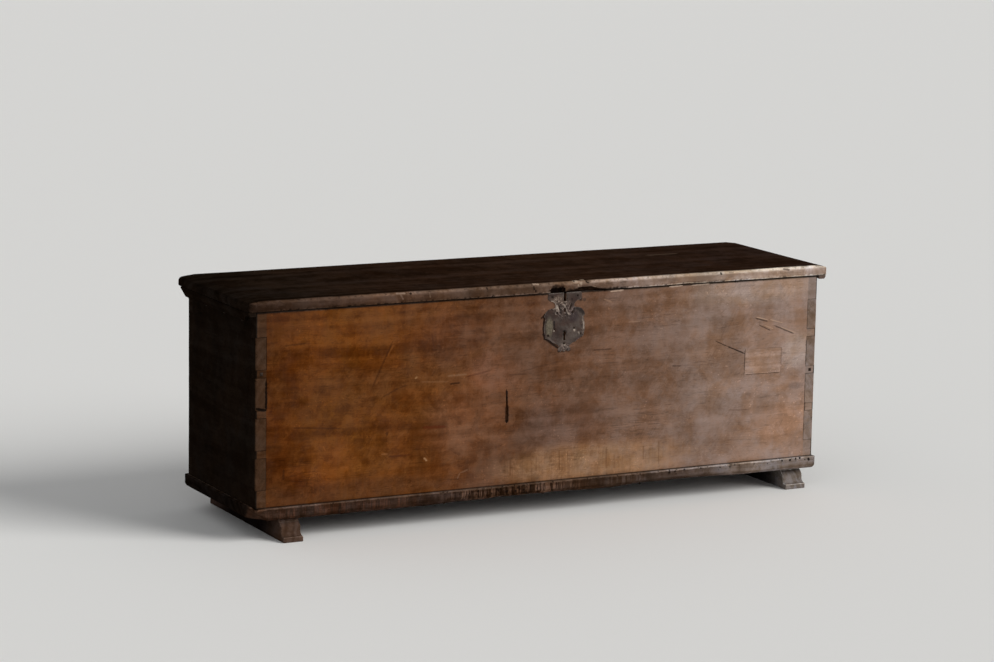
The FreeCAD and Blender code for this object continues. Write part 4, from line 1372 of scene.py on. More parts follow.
@dataclass(frozen=True)
class Face:
    """An upright face. Places on it are millimetres from the box's left end and above the floor."""

    y: float

    THROUGH = 0.3

    def point(self, x: float, z: float) -> Point:
        """A point of the face, in the frame."""
        return (x * MM - HALF_LENGTH, self.y, z * MM)

    def spot(
        self,
        at: tuple[float, float],
        size: tuple[float, float],
        colour: Colour,
        amount: float = 0.6,
        ragged: float = 0.8,
    ) -> Spot:
        """Makes a spot that reaches through the board behind the face.

        Args:
            at: The spot's middle.
            size: How far it reaches to either side, and up and down, in millimetres.
            colour: Its colour.
            amount: How much it covers.
            ragged: How ragged its edge is.

        Returns:
            The spot.
        """
        wide, high = size
        return Spot(self.point(*at), (wide * MM, self.THROUGH, high * MM), colour, amount, ragged)

    def mark(
        self,
        ends: tuple[float, float, float, float],
        width: float,
        colour: Colour = CRACK_DARK,
        amount: float = 0.85,
        depth: float = 0.0,
    ) -> Mark:
        """Makes a mark.

        Args:
            ends: The places of its two ends.
            width: Its width in millimetres.
            colour: Its colour.
            amount: How much it covers.
            depth: How deep it cuts.

        Returns:
            The mark.
        """
        return Mark(self.point(*ends[:2]), self.point(*ends[2:]), width * MM, colour, amount, depth)

    def scratches(self, *rows: tuple[float, ...]) -> tuple[Mark, ...]:
        """Makes shallow scratches.

        Args:
            *rows: For each scratch its two ends, its width, its red, green and blue, and its amount.

        Returns:
            The scratches.
        """
        return tuple(self.mark(row[:4], row[4], tone(*row[5:8]), row[8]) for row in rows)


ON_FRONT = Face(BOX_FRONT)
ON_PLATE = Face(PLATE_FACE - 0.8 * MM)


def even(red: int, green: int, blue: int) -> tuple[Tint, ...]:
    """The same colour all along the chest."""
    return (Tint(0.0, tone(red, green, blue)),)


def tints(*stops: tuple[int, int, int, int]) -> tuple[Tint, ...]:
    """A row of tints, each from its millimetres from the left end and its red, green and blue."""
    return tuple(Tint(x * MM - HALF_LENGTH, tone(red, green, blue)) for x, red, green, blue in stops)


# The front board's walnut, amber at the left end and greyish brown at the right. The rise towards the right
# end partly paints the light and sheen that fall from the right.
FRONT_TINTS_AND_LIGHT = tints(
    (0, 70, 39, 17),
    (90, 76, 39, 12),
    (240, 87, 47, 13),
    (400, 93, 52, 20),
    (620, 87, 52, 28),
    (800, 92, 61, 42),
    (1080, 103, 75, 58),
    (1360, 119, 94, 79),
    (1640, 136, 109, 93),
)

FRONT_SPOTS = (
    ON_FRONT.spot((205, 185), (140, 90), tone(106, 58, 21), 0.6),
    ON_FRONT.spot((200, 500), (140, 90), tone(97, 53, 18), 0.6),
    ON_FRONT.spot((600, 270), (130, 120), tone(114, 73, 48), 0.5),
    ON_FRONT.spot((690, 410), (90, 70), tone(118, 77, 56), 0.5),
    ON_FRONT.spot((560, 500), (120, 80), tone(80, 48, 31), 0.5),
    ON_FRONT.spot((770, 440), (120, 90), tone(84, 60, 46), 0.5),
    ON_FRONT.spot((350, 400), (220, 50), tone(84, 50, 26), 0.4),
    ON_FRONT.spot((900, 250), (160, 70), tone(88, 66, 56), 0.5),
    ON_FRONT.spot((1260, 160), (170, 70), tone(110, 86, 72), 0.5),
    # Painted sheen: a pale patch at the top right of the front board.
    ON_FRONT.spot((1500, 585), (240, 50), tone(160, 136, 120), 0.65),
    ON_FRONT.spot((1640, 400), (60, 60), tone(160, 140, 127), 0.6),
    ON_FRONT.spot((1590, 200), (120, 60), tone(158, 124, 104), 0.5),
    ON_FRONT.spot((1400, 300), (100, 50), tone(132, 108, 94), 0.5),
    ON_FRONT.spot((1637, 298), (30, 12), tone(88, 68, 58), 0.6),
    # Painted shade on the wood seen through the lock plate's piercings.
    ON_FRONT.spot((897, 568), (36, 22), tone(22, 15, 12), 0.95, 0.2),
    ON_FRONT.spot((14, 443), (8, 10), tone(18, 12, 9), 0.8, 0.3),
    ON_FRONT.spot((945, 586), (7, 7), tone(26, 17, 12), 0.85, 0.2),
    ON_FRONT.spot((957, 583), (6, 6), tone(40, 26, 17), 0.7, 0.2),
)

FRONT_STREAKS = (
    ON_FRONT.spot((1000, 132), (340, 64), tone(136, 101, 72), 0.92, 0.5),
    ON_FRONT.spot((300, 120), (340, 35), tone(70, 42, 24), 0.6, 0.6),
)

# Pale scratched wood, partly a painted highlight on the edges of the gouges.
PALE_SCRATCH_AND_HIGHLIGHT = tone(168, 140, 118)
# Grime with painted shadow, for the dark rim round the lock plate.
PLATE_SHADOW_AND_GRIME = tone(20, 13, 10)
# Painted shadow: near-black shade under the lid's overhang, along the lid's lower edge and in the crease
# above the base board.
PAINTED_GAP_SHADOW = even(15, 10, 7)
# Dark walnut for the end faces, darkened further by painted shade.
END_WALNUT_AND_SHADE = even(26, 19, 14)

INNER = HALF_LENGTH - THICK
FRONT_STRIPS = (
    Rind(Axis.X, -INNER + 0.5 * MM, -INNER - 0.7 * MM, even(62, 43, 29), 0.8),
    Rind(Axis.X, INNER - 0.5 * MM, INNER + 0.7 * MM, even(124, 106, 95), 0.75),
)
# The front and back boards' end faces take the same dark end colour, with its painted shade.
SIDE_RINDS = tuple(
    Rind(Axis.X, side * (HALF_LENGTH - 5.5 * MM), side * (HALF_LENGTH - 3 * MM), END_WALNUT_AND_SHADE, 0.97)
    for side in (-1, 1)
)


def end_grain(front: tuple[Tint, ...]) -> tuple[Rind, ...]:
    """The end grain of an end board's tails, in one colour at the front and in another at the back."""
    start, full = HALF_DEPTH - 4.5 * MM, HALF_DEPTH - 2.2 * MM
    return (Rind(Axis.Y, -start, -full, front), Rind(Axis.Y, start, full, even(70, 52, 38)))


FRONT_MARKS = (
    # Painted shadow and grime round the lock plate's left and lower edges.
    ON_FRONT.mark((836, 550, 833, 498), 5, PLATE_SHADOW_AND_GRIME, 0.9),
    ON_FRONT.mark((833, 500, 839, 480), 5.5, PLATE_SHADOW_AND_GRIME, 0.9),
    ON_FRONT.mark((837, 486, 882, 454), 5.5, PLATE_SHADOW_AND_GRIME, 0.9),
    ON_FRONT.mark((825, 539, 844, 555), 3.6, PLATE_SHADOW_AND_GRIME, 0.8),
    ON_FRONT.mark((876, 446, 918, 448), 5, PLATE_SHADOW_AND_GRIME, 0.6),
    ON_FRONT.mark((728, 262, 728, 312), 8, tone(16, 11, 9), 0.97),
    ON_FRONT.mark((728, 310, 726, 354), 4.5, tone(16, 11, 9), 0.97),
    # Painted highlights: pale flecks along the front board's top edge, under the lid.
    ON_FRONT.mark((1036, 600, 1078, 602), 3, tone(186, 160, 140), 0.7),
    ON_FRONT.mark((1220, 602, 1262, 603), 2.6, tone(190, 166, 148), 0.7),
    ON_FRONT.mark((1290, 602, 1350, 603), 2.6, tone(190, 166, 148), 0.6),
    ON_FRONT.mark((1469, 400, 1410, 425), 3, amount=0.85, depth=1.0),
    ON_FRONT.mark((1410, 425, 1372, 442), 2.4, amount=0.7, depth=1.0),
    # The gouges at the right: dark cuts that partly paint the shade in them, and pale strokes that partly
    # paint highlights on their edges.
    ON_FRONT.mark((1500, 497, 1542, 486), 2.8, tone(54, 40, 33), 0.8, 1.0),
    ON_FRONT.mark((1512, 478, 1550, 460), 2.8, tone(58, 44, 36), 0.75, 1.0),
    ON_FRONT.mark((1560, 474, 1628, 446), 2.8, tone(60, 46, 38), 0.75, 1.0),
    ON_FRONT.mark((1545, 492, 1590, 479), 2, PALE_SCRATCH_AND_HIGHLIGHT, 0.6),
    ON_FRONT.mark((1502, 501, 1540, 491), 2, PALE_SCRATCH_AND_HIGHLIGHT, 0.7),
    ON_FRONT.mark((1530, 476, 1560, 464), 2, PALE_SCRATCH_AND_HIGHLIGHT, 0.6),
    ON_FRONT.mark((1585, 467, 1632, 449), 2, PALE_SCRATCH_AND_HIGHLIGHT, 0.6),
    ON_FRONT.mark((29.5, 348, 29.5, 432), 4.4, tone(12, 8, 6), 0.97, 1.0),
    ON_FRONT.mark((-20, 357, 29, 350), 5, tone(12, 8, 6), 0.95, 1.0),
    ON_FRONT.mark((1671, 150, 1671, 330), 2.8, tone(40, 29, 24), 0.8),
    ON_FRONT.mark((1671, 350, 1671, 432), 3.8, tone(20, 14, 12), 0.9, 1.0),
    ON_FRONT.mark((1671, 458, 1671, 540), 2.4, tone(64, 50, 42), 0.7),
    ON_FRONT.mark((1470.5, 341, 1470.5, 413), 4.6, tone(36, 25, 20), 0.85, 1.0),
    ON_FRONT.mark((1472, 341, 1588, 340), 2.6, tone(66, 49, 40), 0.7),
    ON_FRONT.mark((1588, 341, 1589, 410), 2, tone(84, 64, 52), 0.4),
    ON_FRONT.mark((1472, 411, 1588, 410), 2, tone(84, 64, 52), 0.4),
    *ON_FRONT.scratches(
        (388, 508, 326, 379, 4, 50, 26, 12, 0.5),
        (391, 498, 374, 470, 3.4, 128, 76, 36, 0.3),
        (361, 361, 407, 381, 3.6, 50, 29, 18, 0.45),
        (407, 381, 433, 388, 3, 54, 32, 20, 0.35),
        (556, 381, 586, 382, 4, 24, 15, 10, 0.65),
        (471, 393, 553, 388, 3.4, 128, 92, 64, 0.26),
        (547, 403, 609, 404, 3.6, 134, 104, 80, 0.3),
        (604, 397, 672, 408, 3.6, 66, 32, 22, 0.45),
        (476, 270, 547, 267, 6, 78, 32, 15, 0.6),
        (378, 199, 445, 200, 4.4, 56, 25, 13, 0.5),
        (100, 299, 244, 286, 3.6, 48, 24, 11, 0.45),
        (78, 515, 140, 518, 3.6, 46, 24, 11, 0.45),
        (453, 403, 461, 407, 3.6, 160, 122, 84, 0.45),
        (483, 188, 492, 179, 4, 168, 130, 94, 0.5),
        (357, 208, 378, 207, 3.6, 138, 92, 56, 0.35),
        (190, 244, 198, 230, 3.2, 132, 78, 38, 0.35),
        (239, 181, 262, 182, 3.6, 134, 80, 40, 0.35),
        (174, 175, 200, 169, 3.4, 130, 78, 38, 0.3),
        (582, 122, 590, 138, 3.2, 130, 100, 78, 0.3),
        (590, 138, 614, 145, 3.2, 130, 100, 78, 0.3),
        (371, 261, 378, 261, 9, 42, 22, 12, 0.5),
        (79, 190, 79, 163, 5, 44, 22, 10, 0.55),
        (501, 519, 509, 478, 3.4, 58, 34, 24, 0.4),
        (729, 393, 786, 392, 3.4, 58, 37, 27, 0.5),
        (765, 399, 889, 420, 3, 60, 40, 30, 0.35),
        (984, 443, 1045, 442, 3.4, 58, 40, 31, 0.65),
        (1017, 581, 1042, 570, 3, 150, 118, 94, 0.35),
        (1093, 513, 1134, 513, 3, 150, 120, 100, 0.35),
        (1235, 382, 1264, 380, 3.6, 60, 44, 36, 0.6),
        (1419, 245, 1488, 240, 3, 84, 64, 54, 0.45),
        (1473, 286, 1493, 285, 5, 84, 64, 54, 0.4),
        (740, 161, 741, 114, 3, 80, 48, 27, 0.55),
        (819, 166, 820, 120, 2.6, 82, 50, 29, 0.4),
        (889, 178, 891, 120, 3, 82, 52, 30, 0.55),
        (915, 172, 915, 136, 2.6, 84, 54, 33, 0.4),
        (1035, 170, 1036, 112, 2.6, 86, 56, 36, 0.45),
        (1060, 150, 1061, 110, 2.6, 88, 58, 38, 0.4),
        (1151, 168, 1152, 125, 3, 88, 62, 42, 0.45),
        (1200, 178, 1201, 110, 2.8, 90, 64, 46, 0.45),
        (800, 583, 805, 580, 6, 56, 30, 18, 0.5),
    ),
)

# Nicks and cracks on the lid, and pale marks that paint highlights on the dented front edge.
LID_MARKS = (
    Mark((0.107, -0.239, 0.633), (0.113, -0.236, 0.635), 9 * MM, tone(9, 6, 5), 0.95, 1.0),
    Mark((0.066, -0.2345, 0.637), (0.083, -0.2345, 0.637), 8 * MM, tone(168, 150, 132), 0.65),
    Mark((0.094, -0.226, 0.637), (0.104, -0.224, 0.637), 8 * MM, tone(160, 142, 124), 0.55),
    Mark((0.089, -0.238, 0.633), (0.092, -0.238, 0.624), 6 * MM, tone(168, 150, 132), 0.55),
    Mark((0.081, -0.238, 0.628), (0.084, -0.238, 0.62), 4 * MM, tone(168, 150, 132), 0.5),
    Mark((-0.047, -0.2365, 0.6362), (-0.036, -0.237, 0.634), 4.5 * MM, tone(176, 154, 136), 0.6),
    Mark((0.068, -0.235, 0.637), (0.073, -0.235, 0.637), 6 * MM, tone(9, 6, 5), 0.9, 1.0),
    Mark((-0.049, -0.241, 0.617), (-0.045, -0.241, 0.617), 6 * MM, tone(9, 6, 5), 0.95, 1.0),
    # Painted shade in the hasp's bed and in the split beside it.
    Mark((-0.001, -0.235, 0.614), (0.043, -0.235, 0.613), 24 * MM, tone(9, 6, 5), 0.97),
    Mark((0.043, -0.235, 0.608), (0.125, -0.235, 0.613), 14 * MM, tone(9, 6, 5), 0.97),
    Mark((0.1, -0.235, 0.613), (0.24, -0.235, 0.607), 9 * MM, tone(12, 8, 6), 0.95),
    Mark((-0.46, -0.237, 0.635), (-0.43, -0.237, 0.634), 5 * MM, tone(150, 128, 112), 0.6),
    Mark((-0.446, -0.238, 0.632), (-0.438, -0.238, 0.616), 4 * MM, tone(128, 106, 92), 0.45),
    Mark((-0.417, -0.238, 0.634), (-0.415, -0.238, 0.63), 6 * MM, tone(12, 8, 6), 0.9),
    Mark((-0.362, -0.238, 0.633), (-0.36, -0.238, 0.617), 3 * MM, tone(128, 104, 88), 0.45),
    Mark((-0.193, -0.236, 0.637), (-0.19, -0.238, 0.622), 4 * MM, tone(14, 9, 7), 0.85),
    Mark((-0.177, -0.238, 0.61), (-0.173, -0.238, 0.61), 7 * MM, tone(12, 8, 6), 0.9),
    Mark((-0.053, -0.237, 0.631), (-0.051, -0.238, 0.619), 5 * MM, tone(12, 8, 6), 0.9),
    Mark((-0.056, -0.236, 0.636), (-0.042, -0.236, 0.636), 5 * MM, tone(176, 154, 136), 0.7),
    Mark((0.527, -0.237, 0.634), (0.531, -0.238, 0.627), 5 * MM, tone(14, 9, 7), 0.85),
    # Painted highlight along the top arris of the lid's front edge.
    Mark((0.64, -0.236, 0.636), (0.725, -0.236, 0.6365), 5 * MM, tone(236, 222, 206), 0.7),
    Mark((0.728, -0.238, 0.632), (0.752, -0.238, 0.628), 3.6 * MM, tone(60, 44, 36), 0.7),
    Mark((-0.5, -0.02, 0.637), (0.16, -0.035, 0.637), 2.2 * MM, tone(16, 11, 8), 0.7),
    Mark((0.3, -0.12, 0.637), (0.78, -0.11, 0.637), 1.8 * MM, tone(18, 12, 9), 0.6),
    Mark((0.48, 0.09, 0.637), (0.585, 0.094, 0.637), 11 * MM, tone(92, 76, 64), 0.45),
)

# The lid's front edge, paler towards the right end partly as painted light.
LID_EDGE_TINTS_AND_LIGHT = tints(
    (0, 54, 40, 33),
    (400, 76, 55, 43),
    (800, 92, 72, 60),
    (1100, 120, 98, 86),
    (1450, 164, 143, 131),
)
# Painted highlight along the lid's rounded top arris, strongest towards the right end.
LID_RIM_HIGHLIGHT_TINTS = tints(
    (0, 70, 54, 45),
    (400, 106, 82, 66),
    (800, 134, 112, 98),
    (1100, 190, 168, 152),
    (1450, 240, 226, 212),
)
# The lid's top: dark walnut with painted shade, darkest at the left end.
LID_TOP_TINTS_AND_SHADE = tints(
    (0, 26, 19, 14),
    (200, 34, 24, 17),
    (560, 42, 28, 20),
    (950, 47, 32, 23),
    (1600, 44, 30, 23),
)

# Pale worn iron, partly painted highlights on the plate's ribbons and bosses.
PALE_IRON_AND_HIGHLIGHT = tone(158, 144, 132)
# Painted shade for the lock plate's piercings, nail holes, keyhole and hollows.
IRON_HOLLOW_SHADE = tone(10, 8, 7)

PLATE_SPOTS = (
    ON_PLATE.spot((850, 514), (12.5, 30), tone(92, 84, 70), 0.9, 0.2),
    # A pinkish painted highlight at the lower right of the plate.
    ON_PLATE.spot((947, 474), (14, 7), tone(112, 86, 94), 0.7, 0.2),
    ON_PLATE.spot((915, 560), (12, 12), tone(96, 80, 76), 0.7, 0.2),
    ON_PLATE.spot((875, 585), (30, 13), tone(88, 72, 62), 0.7, 0.4),
    ON_PLATE.spot((924, 540), (20, 20), tone(42, 31, 34), 0.7, 0.4),
)

PLATE_TORN = (
    ON_PLATE.spot((880, 575), (34, 26), tone(140, 124, 112), 0.85, 0.4),
    ON_PLATE.spot((900, 556), (36, 24), tone(128, 112, 104), 0.85, 0.4),
    ON_PLATE.spot((850, 512), (14, 34), tone(118, 108, 92), 0.4, 0.4),
    ON_PLATE.spot((896, 455), (22, 14), tone(132, 116, 108), 0.8, 0.4),
    ON_PLATE.spot((955, 515), (8, 35), tone(142, 126, 112), 0.8, 0.5),
)

# Pale marks partly paint highlights on the raised iron; dark marks paint shade in its piercings, holes and
# keyhole.
PLATE_MARKS = (
    ON_PLATE.mark((855, 585, 866, 571), 8, PALE_IRON_AND_HIGHLIGHT, 0.75, -0.6),
    ON_PLATE.mark((866, 571, 879, 562), 8, PALE_IRON_AND_HIGHLIGHT, 0.75, -0.6),
    ON_PLATE.mark((879, 562, 868, 547), 4.5, PALE_IRON_AND_HIGHLIGHT, 0.5, -0.5),
    ON_PLATE.mark((894, 574, 899, 561), 4, PALE_IRON_AND_HIGHLIGHT, 0.65, -0.6),
    ON_PLATE.mark((899, 561, 912, 543), 3.6, PALE_IRON_AND_HIGHLIGHT, 0.5, -0.6),
    ON_PLATE.mark((884.5, 566, 884.5, 548), 4, IRON_HOLLOW_SHADE, 0.9),
    ON_PLATE.mark((893, 560, 907, 542), 3.4, IRON_HOLLOW_SHADE, 0.85),
    ON_PLATE.mark((928, 565, 918, 546), 4.6, IRON_HOLLOW_SHADE, 0.9),
    ON_PLATE.mark((864.8, 533, 865, 509), 4.4, IRON_HOLLOW_SHADE, 0.9),
    ON_PLATE.mark((862.7, 504.5, 867, 504.5), 5, PALE_IRON_AND_HIGHLIGHT, 0.85, -0.4),
    ON_PLATE.mark((927, 506, 927, 498), 5, PALE_IRON_AND_HIGHLIGHT, 0.85, -0.4),
    ON_PLATE.mark((939, 497, 944, 489), 3.6, PALE_IRON_AND_HIGHLIGHT, 0.7, -0.4),
    ON_PLATE.mark((936, 492, 940, 487), 3, IRON_HOLLOW_SHADE, 0.7),
    ON_PLATE.mark((898.5, 468, 898.7, 460), 5, PALE_IRON_AND_HIGHLIGHT, 0.7, -0.4),
    ON_PLATE.mark((876, 445.5, 880, 445.5), 5.5, IRON_HOLLOW_SHADE, 0.9),
    ON_PLATE.mark((905, 451, 909, 451), 5, IRON_HOLLOW_SHADE, 0.9),
    ON_PLATE.mark((916, 587, 920, 587), 5.5, IRON_HOLLOW_SHADE, 0.9),
    ON_PLATE.mark((902, 589, 905, 589), 4.5, IRON_HOLLOW_SHADE, 0.8),
    ON_PLATE.mark((861, 592, 864, 592), 4, IRON_HOLLOW_SHADE, 0.7),
    # Painted shadow over the outer part of the plate's right lobe.
    ON_PLATE.mark((933, 566, 963, 543), 13, tone(24, 17, 14), 0.85),
    ON_PLATE.mark((955, 526, 955, 502), 4, PALE_IRON_AND_HIGHLIGHT, 0.7),
    ON_PLATE.mark((845, 488, 875, 464), 3.5, tone(98, 86, 80), 0.6),
    # Painted shade in the keyhole.
    ON_PLATE.mark((897, 504, 897, 488), 9, IRON_HOLLOW_SHADE, 0.9),
)


class Finishes:
    """All the finishes of the chest, each made once."""

    FRONT = WoodFinish(
        name="front_walnut",
        tints=FRONT_TINTS_AND_LIGHT,
        rubbed=tints((0, 110, 78, 54), (700, 120, 90, 68), (1500, 160, 136, 118)),
        spots=FRONT_SPOTS,
        streaks=FRONT_STREAKS,
        marks=FRONT_MARKS,
        rinds=(
            *FRONT_STRIPS,
            *SIDE_RINDS,
            # Painted shadow under the lid's overhang, and painted shade at the foot of the front board,
            # above the base.
            Rind(Axis.Z, BOX_TOP - 7 * MM, BOX_TOP - 2.5 * MM, PAINTED_GAP_SHADOW, 0.93),
            Rind(Axis.Z, BOX_BOTTOM + 3.5 * MM, BOX_BOTTOM + 1 * MM, PAINTED_GAP_SHADOW, 0.8),
        ),
        contrast=(0.5, 0.21),
        bloom_and_sheen=tints((0, 94, 57, 29), (450, 98, 66, 44), (900, 120, 101, 91), (1600, 160, 148, 146)),
        banding=0.35,
        rings=40.0,
        wax=0.14,
    )
    PATCH = WoodFinish(
        name="patch_walnut",
        tints=even(146, 120, 105),
        rubbed=even(160, 136, 119),
        contrast=(0.22, 0.22),
        craze=0.1,
        rings=90.0,
        shift=(0.31, 0.02, 0.07),
        scuffs=0.2,
    )
    LEFT_END = WoodFinish(
        name="left_end_walnut",
        # Dark walnut, darkened by painted shade.
        tints=END_WALNUT_AND_SHADE,
        rubbed=even(64, 46, 32),
        along=Axis.Y,
        rinds=end_grain(even(65, 46, 33)),
        marks=(
            ON_FRONT.mark((0, 357, 29, 350), 5, tone(12, 8, 6), 0.95),
            ON_FRONT.mark((29.5, 348, 29.5, 432), 4.4, tone(12, 8, 6), 0.95),
        ),
        contrast=(0.35, 0.35),
        rings=55.0,
        rub=0.45,
    )
    RIGHT_END = WoodFinish(
        name="right_end_walnut",
        # The same dark walnut, darkened by painted shade.
        tints=END_WALNUT_AND_SHADE,
        rubbed=even(120, 98, 84),
        along=Axis.Y,
        rinds=end_grain(even(122, 104, 93)),
        contrast=(0.35, 0.35),
        rings=55.0,
        rub=0.45,
    )
    BACK = WoodFinish(
        name="back_walnut",
        tints=even(86, 64, 48),
        rubbed=even(112, 88, 68),
        rinds=SIDE_RINDS,
        contrast=(0.5, 0.5),
        rings=48.0,
        banding=0.7,
        roughness=0.78,
        relief=0.55,
        rub=0.5,
    )
    BASE = WoodFinish(
        name="base_walnut",
        # Paler towards the right end, partly painting the light from the right.
        tints=tints(
            (0, 46, 32, 24),
            (560, 52, 38, 31),
            (680, 42, 27, 17),
            (1150, 54, 40, 31),
            (1350, 74, 61, 54),
            (1500, 114, 102, 96),
        ),
        rubbed=tints((0, 88, 64, 50), (1150, 98, 78, 66), (1500, 160, 146, 138)),
        contrast=(0.62, 0.5),
        rings=80.0,
        rub=0.85,
        rub_grain=85.0,
        nicks=0.57,
        streaks=(
            ON_FRONT.spot((740, 75), (260, 60), tone(24, 13, 9), 0.8, 0.5),
            ON_FRONT.spot((745, 78), (240, 60), tone(112, 84, 68), 0.55, 1.2),
            ON_FRONT.spot((250, 78), (260, 60), tone(76, 50, 38), 0.7, 0.6),
            ON_FRONT.spot((1180, 78), (200, 60), tone(78, 64, 57), 0.6, 0.7),
        ),
        comb=(0.46, 0.58, 0.0),
        rinds=(
            # Painted highlight along the base board's top arris.
            Rind(
                Axis.Z,
                BASE_TOP - 4.2 * MM,
                BASE_TOP - 0.6 * MM,
                tints((0, 82, 66, 56), (1150, 104, 88, 78), (1500, 150, 138, 130)),
                0.6,
            ),
            # Painted shade on the base board's left end.
            Rind(Axis.X, -BASE_HALF_LENGTH + 7 * MM, -BASE_HALF_LENGTH + 2.5 * MM, even(20, 15, 12), 0.93),
            Rind(Axis.X, BASE_HALF_LENGTH - 6 * MM, BASE_HALF_LENGTH - 2 * MM, even(52, 38, 30), 0.85),
        ),
        holes=(
            ON_FRONT.spot((1640, 90), (170, 16), tone(14, 9, 8), 0.95, 0.3),
            ON_FRONT.spot((1290, 90), (200, 14), tone(16, 11, 9), 0.85, 0.5),
            ON_FRONT.spot((700, 70), (220, 30), tone(16, 10, 8), 0.8, 0.5),
        ),
        marks=(
            ON_FRONT.mark((31, 78, 34, 76), 5, tone(12, 8, 6)),
        ),
    )
    RUNNERS = WoodFinish(
        name="runner_walnut",
        # Paler towards the right runner, whose rubbed arrises paint highlights on its toe.
        tints=tints((0, 78, 60, 51), (1600, 114, 106, 102)),
        rubbed=tints((0, 116, 96, 84), (1600, 206, 200, 195)),
        contrast=(0.45, 0.45),
        spots=(
            # Painted shadow on the runners' sides behind their toes, under the chest.
            Spot((0.0, 0.0, 0.03), (4.0, 0.225, 0.5), tone(15, 11, 9), 0.93, 0.1),
        ),
        along=Axis.Y,
        rings=70.0,
        roughness=0.7,
        relief=0.5,
        rub=0.7,
        scuffs=0.15,
    )
    LID = WoodFinish(
        name="lid_walnut",
        tints=LID_EDGE_TINTS_AND_LIGHT,
        # The lid's rubbed arrises take the painted highlight.
        rubbed=LID_RIM_HIGHLIGHT_TINTS,
        contrast=(0.5, 0.4),
        bloom_and_sheen=tints((0, 52, 42, 36), (800, 110, 92, 82), (1500, 190, 172, 162)),
        rings=38.0,
        banding=0.7,
        rub_grain=100.0,
        nicks=0.54,
        pith=(0.0, 0.05, 0.45),
        slant=1.4,
        rinds=(
            # Painted highlight on the upper part of the lid's front edge.
            Rind(Axis.Z, LID_TOP - 11.3 * MM, LID_TOP - 4.3 * MM, LID_RIM_HIGHLIGHT_TINTS, 0.75),
            # Painted shade along the lid's lower edge, over the gap.
            Rind(Axis.Z, LID_BOTTOM + 2.2 * MM, LID_BOTTOM + 0.5 * MM, PAINTED_GAP_SHADOW, 0.9),
            Rind(Axis.Y, LID_FRONT + 4.5 * MM, LID_FRONT + 10.8 * MM, LID_TOP_TINTS_AND_SHADE, 1.0),
        ),
        marks=LID_MARKS,
    )
    CLEATS = WoodFinish(
        name="cleat_walnut",
        # Dark on the left cleat and paler on the right one, partly painting the shade at the left and the
        # light at the right.
        tints=tints((0, 24, 17, 12), (1600, 84, 68, 58)),
        rubbed=tints((0, 40, 29, 22), (1600, 130, 110, 98)),
        along=Axis.Y,
        rings=80.0,
        rub=0.7,
        scuffs=0.1,
    )
    NAILS = IronFinish("nail_iron", tone(34, 27, 23), tone(48, 33, 25), tone(84, 72, 62), gloss=0.05)
    PLATE = IronFinish(
        "plate_iron",
        tone(48, 37, 33),
        tone(60, 42, 35),
        tone(122, 112, 104),
        rust=0.45,
        relief=0.9,
        spots=PLATE_SPOTS,
        torn=PLATE_TORN,
        marks=PLATE_MARKS,
    )
    LOCK = IronFinish(
        "lock_iron",
        tone(52, 46, 42),
        tone(74, 52, 38),
        tone(112, 104, 96),
        rust=0.45,
        metal=0.3,
        gloss=0.2,
    )
    STRAPS = IronFinish("strap_iron", tone(44, 40, 38), tone(70, 48, 37), tone(100, 94, 88))


# Sub-assemblies


